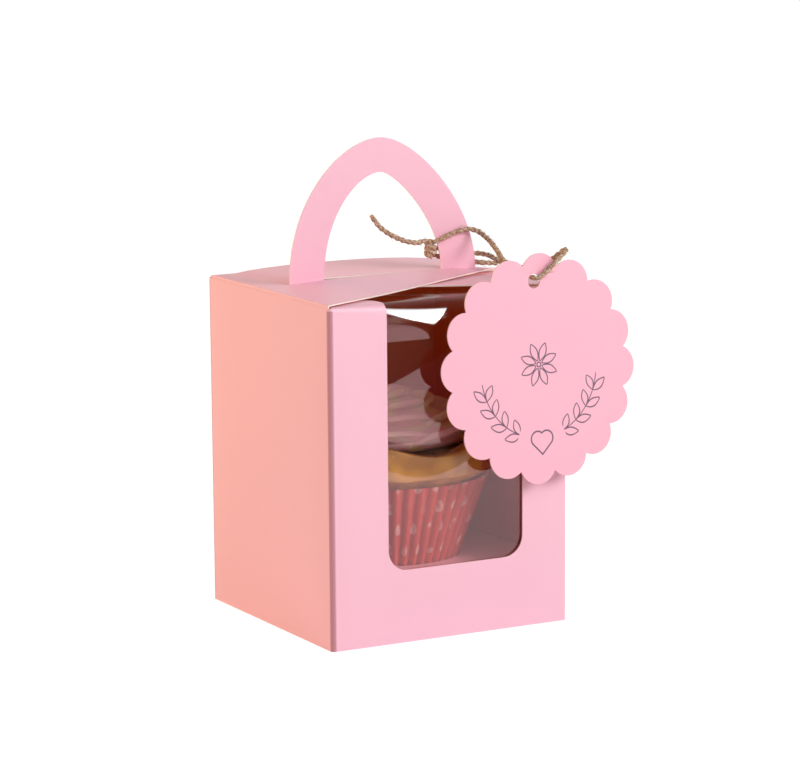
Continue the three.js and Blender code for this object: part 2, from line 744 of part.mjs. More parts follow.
const knot = mesh("twine_knot", twineKnot(), jute);
knot.position.copy(fromLeg(-10.4, -0.3, 9.6));
cupcakeBox.add(
  mesh("twine_loop", twineTube(loopRoute, 44), jute),
  mesh("twine_long_tail", twineTube(longTailRoute, 12), jute),
  mesh("twine_short_tail", twineTube(shortTailRoute, 10), jute),
  knot,
);

export default cupcakeBox;
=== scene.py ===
"""A single-cupcake carrier carton in pink board, dressed for rendering.

The carton is modelled as die-cut board: each sheet is cut flat, scored and folded round the box. All
modelling is in millimetres, and each finished piece is scaled to metres as its place is applied.
"""

import logging
import math
import random
from contextlib import contextmanager
from dataclasses import dataclass, field
from enum import Enum
from typing import Callable, Iterator, Sequence

import bmesh
import bpy
from mathutils import Matrix, Vector, noise


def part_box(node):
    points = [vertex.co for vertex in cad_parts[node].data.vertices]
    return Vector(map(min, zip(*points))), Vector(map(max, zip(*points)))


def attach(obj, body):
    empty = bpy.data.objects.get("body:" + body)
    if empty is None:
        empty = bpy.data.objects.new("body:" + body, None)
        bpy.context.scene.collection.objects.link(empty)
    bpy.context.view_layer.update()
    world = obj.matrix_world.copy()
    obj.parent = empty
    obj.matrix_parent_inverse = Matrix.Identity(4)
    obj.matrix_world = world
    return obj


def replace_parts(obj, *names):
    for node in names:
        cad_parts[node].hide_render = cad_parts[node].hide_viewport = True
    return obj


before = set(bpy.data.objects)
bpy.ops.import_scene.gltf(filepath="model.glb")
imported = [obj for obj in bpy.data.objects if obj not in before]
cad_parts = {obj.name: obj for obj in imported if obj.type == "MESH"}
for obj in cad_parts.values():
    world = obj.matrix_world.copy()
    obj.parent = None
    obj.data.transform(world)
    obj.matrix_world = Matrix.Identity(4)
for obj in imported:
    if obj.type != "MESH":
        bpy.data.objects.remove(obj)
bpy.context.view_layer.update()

LOG = logging.getLogger("cupcake_box")
MM = 0.001
SEED = 11

Point = tuple[float, float]
Place = Callable[[float, float], Sequence[float]]
Colour = tuple[float, float, float]


class Body(Enum):
    """The rigid bodies that the pieces ride on."""

    CARTON = "carton"
    FLAP = "handle_flap"


class Slot(Enum):
    """The record's material slots."""

    BOARD = "pink_board"
    CARD = "tag_card"
    FILM = "clear_film"
    PAPER = "case_paper"
    CRUMB = "cake_crumb"
    CREAM = "frosting_cream"
    CARAMEL = "caramel"
    JUTE = "jute"


class Side(Enum):
    """Which part of a board sheet a material belongs to, as its slot number."""

    PRINT = 0
    INSIDE = 1
    CUT = 2


def box_mm(node: str) -> tuple[Vector, Vector]:
    """Lowest and highest corner of a CAD node.

    Args:
        node: The node's name.

    Returns:
        The two corners, in millimetres.
    """
    low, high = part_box(node)
    return Vector(low) / MM, Vector(high) / MM


def lerp(a: float, b: float, t: float) -> float:
    """Returns the value a share t of the way from a to b."""
    return a + (b - a) * t


def clamp(value: float, low: float = 0.0, high: float = 1.0) -> float:
    """Returns the value, kept between low and high."""
    return max(low, min(high, value))


def smoothstep(value: float, low: float, high: float) -> float:
    """Returns 0 at low and 1 at high, with a soft start and end."""
    t = clamp((value - low) / (high - low))
    return t * t * (3 - 2 * t)


def arc(centre: Point, radius: float, start: float, end: float, steps: int = 8) -> list[Point]:
    """Points along an arc.

    Args:
        centre: The arc's centre.
        radius: Its radius.
        start: The first point's angle in degrees.
        end: The last point's angle in degrees.
        steps: How many chords it has.

    Returns:
        The points, with both ends.
    """
    turns = [math.radians(lerp(start, end, i / steps)) for i in range(steps + 1)]
    return [(centre[0] + radius * math.cos(a), centre[1] + radius * math.sin(a)) for a in turns]


def bezier(ends: Sequence[Point], handles: Sequence[Point], steps: int = 24) -> list[Point]:
    """Points along one cubic curve.

    Args:
        ends: Its two ends.
        handles: Its two control points.
        steps: How many chords it has.

    Returns:
        The points, with both ends.
    """
    points = []
    for i in range(steps + 1):
        t = i / steps
        shares = ((1 - t) ** 3, 3 * t * (1 - t) ** 2, 3 * t * t * (1 - t), t**3)
        controls = (ends[0], handles[0], handles[1], ends[1])
        points.append(tuple(sum(s * c[k] for s, c in zip(shares, controls)) for k in (0, 1)))
    return points


class Wire:
    """A value in a shader, which arithmetic turns into Math nodes."""

    def __init__(self, graph: "Graph", socket: bpy.types.NodeSocket) -> None:
        """Keeps the graph and the socket that carries the value."""
        self.graph = graph
        self.socket = socket

    def math(self, operation: str, *others: "Wire | float") -> "Wire":
        """Returns the result of one Math node on this value and others."""
        return self.graph.node("ShaderNodeMath", {"operation": operation}, dict(enumerate((self, *others))))

    def _reflected(self, operation: str, other: float) -> "Wire":
        """Returns a Math node's result with the plain number first."""
        return self.graph.node("ShaderNodeMath", {"operation": operation}, {0: other, 1: self})

    def __add__(self, other: "Wire | float") -> "Wire":
        """Returns the sum."""
        return self.math("ADD", other)

    def __radd__(self, other: float) -> "Wire":
        """Returns the sum."""
        return self.math("ADD", other)

    def __sub__(self, other: "Wire | float") -> "Wire":
        """Returns the difference."""
        return self.math("SUBTRACT", other)

    def __rsub__(self, other: float) -> "Wire":
        """Returns the difference from a plain number."""
        return self._reflected("SUBTRACT", other)

    def __mul__(self, other: "Wire | float") -> "Wire":
        """Returns the product."""
        return self.math("MULTIPLY", other)

    def __rmul__(self, other: float) -> "Wire":
        """Returns the product."""
        return self.math("MULTIPLY", other)

    def __truediv__(self, other: "Wire | float") -> "Wire":
        """Returns the quotient."""
        return self.math("DIVIDE", other)

    def __lt__(self, other: "Wire | float") -> "Wire":
        """Returns 1 where this value is the smaller one."""
        return self.math("LESS_THAN", other)

    def __gt__(self, other: "Wire | float") -> "Wire":
        """Returns 1 where this value is the larger one."""
        return self.math("GREATER_THAN", other)

    def __abs__(self) -> "Wire":
        """Returns the value without its sign."""
        return self.math("ABSOLUTE")

    def either(self, other: "Wire | float") -> "Wire":
        """Returns the larger of two values."""
        return self.math("MAXIMUM", other)

    def ramp(self, low: float, high: float) -> "Wire":
        """Returns 0 below low and 1 above high, smooth between."""
        settings = {"interpolation_type": "SMOOTHSTEP"}
        return self.graph.node("ShaderNodeMapRange", settings, {0: self, 1: low, 2: high, 3: 0.0, 4: 1.0})


class Graph:
    """The node tree of one material or world."""

    def __init__(self, owner: bpy.types.Material | bpy.types.World) -> None:
        """Empties the owner's tree and starts with an output node."""
        owner.use_nodes = True
        self.tree = owner.node_tree
        self.tree.nodes.clear()
        kind = "World" if isinstance(owner, bpy.types.World) else "Material"
        self.output = self.tree.nodes.new(f"ShaderNodeOutput{kind}")

    def node(
        self,
        kind: str,
        settings: dict[str, object] | None = None,
        inputs: dict[str | int, object] | None = None,
        output: str | int = 0,
    ) -> Wire:
        """Adds one node.

        Args:
            kind: The node's type.
            settings: Its properties, set first; stops gives a colour ramp's stops.
            inputs: The values or wires of its sockets, by name or number.
            output: The output socket to return.

        Returns:
            The wire that leaves the node.
        """
        made = self.tree.nodes.new(kind)
        for name, value in (settings or {}).items():
            if name == "stops":
                self._set_stops(made.color_ramp.elements, value)
            else:
                setattr(made, name, value)
        for name, value in (inputs or {}).items():
            if isinstance(value, Wire):
                self.tree.links.new(value.socket, made.inputs[name])
            else:
                made.inputs[name].default_value = value
        return Wire(self, made.outputs[output])

    @staticmethod
    def _set_stops(elements: bpy.types.bpy_prop_collection, stops: Sequence[tuple[float, Colour]]) -> None:
        """Gives a colour ramp its stops, each a place and a colour."""
        while len(elements) < len(stops):
            elements.new(1.0)
        for element, (place, colour) in zip(elements, stops):
            element.position = place
            element.color = (*colour, 1.0)

    def position(self, centre: Vector | None = None, turn: Sequence[float] = (0, 0, 0)) -> list[Wire]:
        """Object coordinates in millimetres, as three wires.

        Args:
            centre: The point that counts as the origin, in millimetres.
            turn: The pattern's own rotation, in radians.

        Returns:
            The X, Y and Z wires.
        """
        place = self.node("ShaderNodeTexCoord", output="Object")
        origin = tuple((centre or Vector()) * MM)
        inputs = {"Vector": place, "Location": origin, "Rotation": tuple(turn), "Scale": (MM,) * 3}
        local = self.node("ShaderNodeMapping", {"vector_type": "TEXTURE"}, inputs)
        return [self.node("ShaderNodeSeparateXYZ", None, {0: local}, axis) for axis in "XYZ"]

    def noise(self, grain: float, detail: float = 2.0, stretch: Colour = (1, 1, 1)) -> Wire:
        """Noise on the object.

        Args:
            grain: The size of its features, in millimetres.
            detail: How many finer layers it has.
            stretch: How much longer the features are along each axis.

        Returns:
            A wire from 0 to 1.
        """
        place = self.node("ShaderNodeTexCoord", output="Object")
        scale = tuple(1 / (grain * MM * s) for s in stretch)
        scaled = self.node("ShaderNodeMapping", None, {"Vector": place, "Scale": scale})
        return self.node("ShaderNodeTexNoise", None, {"Vector": scaled, "Scale": 1.0, "Detail": detail})

    def mix(self, factor: Wire | float, first: Wire | Colour, second: Wire | Colour) -> Wire:
        """Returns a colour between two, by the factor."""
        a, b = (c if isinstance(c, Wire) else (*c, 1.0) for c in (first, second))
        return self.node("ShaderNodeMix", {"data_type": "RGBA"}, {0: factor, 6: a, 7: b}, 2)

    def bump(self, height: Wire, depth: float, strength: float = 1.0) -> Wire:
        """Returns the normal of a surface whose height varies by depth, in millimetres."""
        inputs = {"Height": height, "Distance": depth * MM, "Strength": strength}
        return self.node("ShaderNodeBump", None, inputs)

    def principled(self, **inputs: object) -> Wire:
        """Returns a Principled shader; an input's name has _ for each space."""
        given = {name.replace("_", " "): value for name, value in inputs.items()}
        for name in ("Base Color", "Emission Color"):
            if isinstance(given.get(name), tuple):
                given[name] = (*given[name], 1.0)
        return self.node("ShaderNodeBsdfPrincipled", None, given)

    def show(self, shader: Wire) -> None:
        """Connects the shader to the surface output."""
        self.tree.links.new(shader.socket, self.output.inputs["Surface"])


def material(name: str) -> tuple[bpy.types.Material, Graph]:
    """Returns a new material and its graph."""
    made = bpy.data.materials.new(name)
    return made, Graph(made)


@dataclass(frozen=True)
class BoardFinish:
    """Coated carton board: a satin print coat over a faint grain, with painted shade along the folds of the
    left corners.
    """

    name: str = "printed_board"
    colour: Colour = (0.95, 0.53, 0.645)
    roughness: float = 0.42
    coat: float = 0.08
    grain: float = 0.35
    mottle: float = 0.012
    corner_fold_shade: Colour = (0.62, 0.48, 0.49)
    corner_shade_from: float = 42.2
    corner_shade_top: float = 110.5
    corner_shade_soft: float = 0.7

    def make(self) -> bpy.types.Material:
        """Returns the material."""
        made, graph = material(self.name)
        cloud = graph.noise(26, 3)
        fibre = graph.noise(self.grain, 3, (1, 1, 2.4))
        lighter = tuple(min(1.0, c * (1 + self.mottle)) for c in self.colour)
        darker = tuple(c * (1 - self.mottle) for c in self.colour)
        base = graph.mix(cloud * 0.7 + fibre * 0.3, darker, lighter)
        x, y, z = graph.position()
        # Painted shade: the board is darkened along the folds of both left corners, below the top.
        full = self.corner_shade_from + self.corner_shade_soft
        corner = (x * -1).ramp(self.corner_shade_from, full) * (z < self.corner_shade_top)
        corner = corner * abs(y).ramp(self.corner_shade_from, full)
        painted_shade = graph.mix(corner, (1.0, 1.0, 1.0), self.corner_fold_shade)
        base = graph.node("ShaderNodeVectorMath", {"operation": "MULTIPLY"}, {0: base, 1: painted_shade})
        graph.show(
            graph.principled(
                Base_Color=base,
                Roughness=self.roughness + fibre * 0.08,
                Normal=graph.bump(fibre, 0.012, 0.5),
                Coat_Weight=self.coat,
                Coat_Roughness=0.28,
            )
        )
        return made


@dataclass(frozen=True)
class InsideFinish:
    """The carton's uncoated inside, with painted light: its red warms to orange towards the top."""

    low: Colour = (0.97, 0.21, 0.31)
    high: Colour = (0.99, 0.33, 0.1)
    from_height: float = 30.0
    to_height: float = 85.0

    def make(self) -> bpy.types.Material:
        """Returns the material."""
        made, graph = material("board_inside")
        z = graph.position()[2]
        fibre = graph.noise(0.35, 3)
        # Painted light: the colour goes from red low down to orange near the top, for the warm light that
        # falls in from above.
        base = graph.mix(z.ramp(self.from_height, self.to_height), self.low, self.high)
        graph.show(graph.principled(Base_Color=base, Roughness=0.6, Normal=graph.bump(fibre, 0.012, 0.5)))
        return made


@dataclass(frozen=True)
class CutEdgeFinish:
    """The pale cut edge of the board, where its layers show."""

    colour: Colour = (0.96, 0.78, 0.7)
    layer: Colour = (0.99, 0.88, 0.8)

    def make(self) -> bpy.types.Material:
        """Returns the material."""
        made, graph = material("cut_edge")
        fibre = graph.noise(0.25, 2)
        base = graph.mix(fibre.ramp(0.35, 0.65), self.colour, self.layer)
        graph.show(graph.principled(Base_Color=base, Roughness=0.85, Normal=graph.bump(fibre, 0.03)))
        return made


@dataclass(frozen=True)
class Brink:
    """A line across the film, given by its height, slope and bend over its centre."""

    centre: float
    height: float
    slope: float = 0.0
    bend: float = 0.0

    def at(self, x: Wire) -> Wire:
        """Returns the line's height over x."""
        run = x - self.centre
        return run * run * self.bend + run * self.slope + self.height


@dataclass(frozen=True)
class FilmFinish:
    """Clear film: see-through, with sharp-edged patches of painted reflection, a pale haze masked onto its
    front, and a painted highlight where it bends back.
    """

    painted_reflection: float = 0.067
    painted_reflection_colour: Colour = (1.0, 0.67, 0.71)
    clear_gloss: float = 0.004
    edge_gloss: float = 0.3
    glare: float = 0.97
    glare_metal: float = 0.6
    glare_blur: float = 0.3
    mirror_blur: float = 0.02
    soft: float = 0.35
    tint: Colour = (0.985, 0.96, 0.95)
    patch_left: float = -24.0
    patch_foot: float = 98.8
    patch_reach: float = 17.0
    patch_rise: float = 5.9
    middle_top: Brink = Brink(-23.3, 84.6, 0.35, 0.0035)
    middle_foot: Brink = Brink(-7.5, 64.3, 0.0, 0.012)
    middle_right: float = -1.0
    low_top: Brink = Brink(-8.5, 53.8, 0.0, 0.0165)
    glare_top: Brink = Brink(3.0, 107.85, 0.0, 0.0022)
    glare_foot: Brink = Brink(-5.9, 103.47, -0.28)
    glare_floor: float = 103.5
    glare_end: float = -5.0
    glare_lean: float = 1.2

    def _below(self, z: Wire, line: Wire) -> Wire:
        """Returns 1 below a line and 0 above it, with a slightly soft edge."""
        return 1 - (z - line).ramp(-self.soft, self.soft)

    def _painted_reflection_mask(self, x: Wire, z: Wire) -> Wire:
        """Returns the mask of the three patches of painted reflection on the film's front."""
        across = (x - self.patch_left) / self.patch_reach
        up = (z - self.patch_foot) / self.patch_rise
        upper = (1 - (across * across + up * up).ramp(0.94, 1.06)) * (up > 0.0)
        middle = self._below(z, self.middle_top.at(x)) * (1 - self._below(z, self.middle_foot.at(x)))
        middle = middle * (1 - (x - self.middle_right).ramp(0, 1))
        low = self._below(z, self.low_top.at(x))
        return upper.either(middle).either(low)

    def _glare(self, x: Wire, z: Wire) -> Wire:
        """Returns the mask of the painted highlight, a bright band where the film bends back."""
        top = self.glare_top.at(x)
        foot = self.glare_foot.at(x).either(self.glare_floor)
        end = (z - self.glare_floor) * self.glare_lean + self.glare_end
        return self._below(z, top) * (1 - self._below(z, foot)) * self._below(x, end)

    def make(self) -> bpy.types.Material:
        """Returns the material."""
        made, graph = material("clear_film")
        x, y, z = graph.position()
        facing = graph.node("ShaderNodeLayerWeight", None, {"Blend": 0.5}, "Facing")
        edge = facing.math("POWER", 5.0) * self.edge_gloss
        gloss = edge + self.clear_gloss
        clear = graph.node("ShaderNodeBsdfTransparent", None, {"Color": (*self.tint, 1.0)})
        sharp = {"Color": (1.0, 1.0, 1.0, 1.0), "Roughness": self.mirror_blur}
        mirror = graph.node("ShaderNodeBsdfAnisotropic", None, sharp)
        film = graph.node("ShaderNodeMixShader", None, {0: gloss, 1: clear, 2: mirror})
        # Painted reflection: a pale pink mirror is masked onto three sharp-edged patches of the front.
        pale = {"Color": (*self.painted_reflection_colour, 1.0), "Roughness": self.mirror_blur}
        painted_reflection_shader = graph.node("ShaderNodeBsdfAnisotropic", None, pale)
        painted_reflection_patches = self._painted_reflection_mask(x, z) * self.painted_reflection
        film = graph.node("ShaderNodeMixShader", None, {0: painted_reflection_patches, 1: film, 2: painted_reflection_shader})
        white = (1.0, 1.0, 1.0)
        # Painted highlight: a white, partly metallic sheet is masked onto the band where the film bends back.
        bright = graph.principled(Base_Color=white, Metallic=self.glare_metal, Roughness=self.glare_blur)
        glare = self._glare(x, z) * self.glare
        graph.show(graph.node("ShaderNodeMixShader", None, {0: glare, 1: film, 2: bright}))
        return made


@dataclass(frozen=True)
class CasePaperFinish:
    """Coral-red paper with staggered rows of small white drops, and painted shade in the pleats' valleys."""

    colour: Colour = (0.74, 0.1, 0.085)
    drop: Colour = (0.9, 0.5, 0.46)
    pleats: int = 48
    painted_valley_shade: float = 0.68
    columns: int = 34
    row: float = 7.4
    drop_width: float = 0.17
    drop_height: float = 0.28

    def make(self) -> bpy.types.Material:
        """Returns the material."""
        made, graph = material("case_paper")
        x, y, z = graph.position()
        across = y.math("ARCTAN2", x) * (self.columns / (2 * math.pi))
        up = z / self.row
        odd = up.math("FLOOR").math("MODULO", 2.0) * 0.5
        u = (across + odd).math("FRACT") - 0.5
        v = up.math("FRACT") - 0.5
        narrow = 1 - v * 1.3
        reach = (u / (narrow * self.drop_width)).math("POWER", 2.0)
        reach = reach + (v / self.drop_height).math("POWER", 2.0)
        fibre = graph.noise(0.5, 3, (1, 1, 3))
        plain = graph.mix(fibre, tuple(c * 0.9 for c in self.colour), tuple(c * 1.1 for c in self.colour))
        worn = graph.noise(7, 1).ramp(0.36, 0.58)
        base = graph.mix((1 - reach.ramp(0.6, 1.4)) * worn, plain, self.drop)
        # Painted shade: a wave round the case darkens the pleats' valleys.
        ridge = (y.math("ARCTAN2", x) * self.pleats).math("COSINE") * 0.5 + 0.5
        painted_shade = graph.mix(ridge, (self.painted_valley_shade,) * 3, (1.0, 1.0, 1.0))
        base = graph.node("ShaderNodeVectorMath", {"operation": "MULTIPLY"}, {0: base, 1: painted_shade})
        graph.show(graph.principled(Base_Color=base, Roughness=0.62, Normal=graph.bump(fibre, 0.03)))
        return made


@dataclass(frozen=True)
class CrumbFinish:
    """Golden-brown baked crumb with darker patches and open pores."""

    golden: Colour = (0.56, 0.24, 0.05)
    baked: Colour = (0.27, 0.09, 0.025)

    def make(self) -> bpy.types.Material:
        """Returns the material."""
        made, graph = material("cake_crumb")
        patch = graph.noise(7, 4)
        pore = graph.noise(0.9, 4)
        base = graph.mix(patch.ramp(0.35, 0.68), self.golden, self.baked)
        base = graph.mix(pore.ramp(0.62, 0.72), base, self.baked)
        graph.show(graph.principled(Base_Color=base, Roughness=0.78, Normal=graph.bump(pore, 0.35)))
        return made


@dataclass(frozen=True)
class CreamFinish:
    """Whipped frosting: soft, slightly glossy, with fine ripples from the piping nozzle."""

    name: str = "pink_cream"
    colour: Colour = (0.98, 0.57, 0.6)
    shade: Colour = (0.95, 0.8, 0.5)

    def make(self) -> bpy.types.Material:
        """Returns the material."""
        made, graph = material(self.name)
        ripple = graph.noise(1.6, 2, (1, 1, 0.35))
        fold = graph.noise(13, 1)
        base = graph.mix(fold.ramp(0.48, 0.6), self.colour, self.shade)
        graph.show(
            graph.principled(
                Base_Color=base,
                Roughness=0.4 + ripple * 0.15,
                Normal=graph.bump(ripple, 0.12),
                Subsurface_Weight=0.15,
                Subsurface_Radius=(0.004, 0.002, 0.0015),
                Coat_Weight=0.15,
            )
        )
        return made


@dataclass(frozen=True)
class CaramelFinish:
    """Glossy golden caramel, with tiny grains in it painted bright pale gold as glints."""

    deep: Colour = (0.42, 0.16, 0.012)
    golden: Colour = (0.7, 0.33, 0.03)
    grain: Colour = (0.98, 0.78, 0.4)

    def make(self) -> bpy.types.Material:
        """Returns the material."""
        made, graph = material("caramel")
        flow = graph.noise(9, 1)
        glint_speck = graph.noise(0.55, 1)
        base = graph.mix(flow.ramp(0.3, 0.7), self.golden, self.deep)
        # Painted glints: the caramel's tiny grains are painted bright pale gold.
        base = graph.mix(glint_speck.ramp(0.72, 0.76), base, self.grain)
        graph.show(graph.principled(Base_Color=base, Roughness=0.2, Coat_Weight=0.6, Coat_Roughness=0.08))
        return made


@dataclass(frozen=True)
class JuteFinish:
    """Jute: brown fibre bundles with pale fibres among them."""

    dark: Colour = (0.16, 0.07, 0.035)
    brown: Colour = (0.47, 0.275, 0.17)
    pale: Colour = (0.95, 0.8, 0.62)

    def make(self) -> bpy.types.Material:
        """Returns the material."""
        made, graph = material("jute")
        bundle = graph.noise(0.9, 3)
        fibre = graph.noise(0.16, 3, (2.5, 1, 1))
        stops = [(0.32, self.dark), (0.47, self.brown), (0.66, self.pale)]
        mixed = bundle * 0.5 + fibre * 0.5
        base = graph.node("ShaderNodeValToRGB", {"stops": stops}, {"Fac": mixed})
        graph.show(graph.principled(Base_Color=base, Roughness=0.88, Normal=graph.bump(fibre, 0.12)))
        return made


@dataclass(frozen=True)
class TagFinish:
    """Pink card with thin printed sprigs, a rosette and a heart, and a pale cut edge."""

    centre: Vector
    turn: tuple[float, float, float]
    card: Colour = (0.96, 0.475, 0.585)
    ink: Colour = (0.085, 0.045, 0.085)
    edge: Colour = (0.9, 0.6, 0.56)
    line: float = 0.22
    sprig_radius: float = 22.5
    sprig_from: float = 188.0
    sprig_to: float = 247.0
    leaf_step: float = 5.9
    leaf_length: float = 6.0
    leaf_width: float = 1.25
    leaf_slant: float = 38.0
    heart_drop: float = 24.5
    heart_size: float = 7.0
    rosette_radius: float = 6.4
    rosette_petals: int = 8
    rosette_rise: float = 1.5

    def _loop(self, along: Wire, across: Wire, length: float, width: float) -> Wire:
        """Returns a mask of a leaf's outline, from its stem at along = 0."""
        share = along / length
        bulge = share.ramp(0.0, 0.02) * (1 - share.ramp(0.98, 1.0))
        rim = (along * (math.pi / length)).math("SINE") * width
        return ((abs(across) - rim).math("ABSOLUTE") < self.line) * bulge

    def _sprigs(self, x: Wire, z: Wire) -> Wire:
        """Returns a mask of two mirrored sprigs, leaves in pairs along an arc."""
        away = (x * x + z * z).math("SQRT")
        angle = z.math("ARCTAN2", abs(x) * -1) * (180 / math.pi)
        turned = angle + (angle < 0) * 360.0
        stem = (turned - self.sprig_from) * (math.pi / 180 * self.sprig_radius)
        total = math.radians(self.sprig_to - self.sprig_from) * self.sprig_radius
        out = away - self.sprig_radius
        within = stem.ramp(0.0, 0.1) * (1 - stem.ramp(total - 0.1, total))
        local = (stem.math("MODULO", self.leaf_step) - self.leaf_step) * -1
        slant = math.radians(self.leaf_slant)
        along = local * math.cos(slant) + abs(out) * math.sin(slant)
        across = abs(out) * math.cos(slant) - local * math.sin(slant)
        leaves = self._loop(along, across, self.leaf_length, self.leaf_width)
        return (leaves.either(abs(out) < self.line * 0.8)) * within

    def _heart(self, x: Wire, z: Wire) -> Wire:
        """Returns a mask of a heart's outline: two round lobes on a square point."""
        px = abs(x) / self.heart_size
        py = (z + self.heart_drop) / self.heart_size + 0.5
        lobe_x, lobe_y = px - 0.25, py - 0.75
        lobe = (lobe_x * lobe_x + lobe_y * lobe_y).math("SQRT") - math.sqrt(2) / 4
        half = (px + py).either(0.0) * 0.5
        side_x, side_y = px - half, py - half
        side = (side_x * side_x + side_y * side_y).math("SQRT")
        notch = (px * px + (py - 1.0) * (py - 1.0)).math("SQRT")
        point = side.math("MINIMUM", notch)
        upper = (px + py) > 1.0
        distance = abs(lobe) * upper + point * (1 - upper)
        return distance < self.line * 1.2 / self.heart_size

    def _rosette(self, x: Wire, z: Wire) -> Wire:
        """Returns a mask of a small flower of outlined petals."""
        up = z - self.rosette_rise
        away = (x * x + up * up).math("SQRT")
        step = 2 * math.pi / self.rosette_petals
        turn = up.math("ARCTAN2", x) + math.pi
        swing = turn.math("MODULO", step) - step / 2
        along = swing.math("COSINE") * away - 1.1
        across = swing.math("SINE") * away
        petals = self._loop(along, across, self.rosette_radius, 1.3)
        return petals.either((away - 0.75).math("ABSOLUTE") < self.line)

    def make(self) -> bpy.types.Material:
        """Returns the material."""
        made, graph = material("tag_card")
        x, y, z = graph.position(self.centre, self.turn)
        front = y < 0.0
        print_mask = self._sprigs(x, z).either(self._heart(x, z))
        print_mask = print_mask.either(self._rosette(x, z)) * front
        fibre = graph.noise(0.35, 3)
        plain = graph.mix(fibre, tuple(c * 0.98 for c in self.card), self.card)
        rim = (abs(y) < 0.2) * 1.0
        base = graph.mix(rim, graph.mix(print_mask * 0.92, plain, self.ink), self.edge)
        graph.show(
            graph.principled(Base_Color=base, Roughness=0.52 + fibre * 0.08, Normal=graph.bump(fibre, 0.01))
        )
        return made


@dataclass
class Finishes:
    """Every material, made once."""

    printed: bpy.types.Material = field(default_factory=lambda: BoardFinish().make())
    inside: bpy.types.Material = field(default_factory=lambda: InsideFinish().make())
    cut: bpy.types.Material = field(default_factory=lambda: CutEdgeFinish().make())
    film: bpy.types.Material = field(default_factory=lambda: FilmFinish().make())
    paper: bpy.types.Material = field(default_factory=lambda: CasePaperFinish().make())
    crumb: bpy.types.Material = field(default_factory=lambda: CrumbFinish().make())
    cream: bpy.types.Material = field(default_factory=lambda: CreamFinish().make())
    caramel: bpy.types.Material = field(default_factory=lambda: CaramelFinish().make())
    jute: bpy.types.Material = field(default_factory=lambda: JuteFinish().make())

    @property
    def board(self) -> list[bpy.types.Material]:
        """The three materials of a sheet of board, in the order of Side."""
        return [self.printed, self.inside, self.cut]


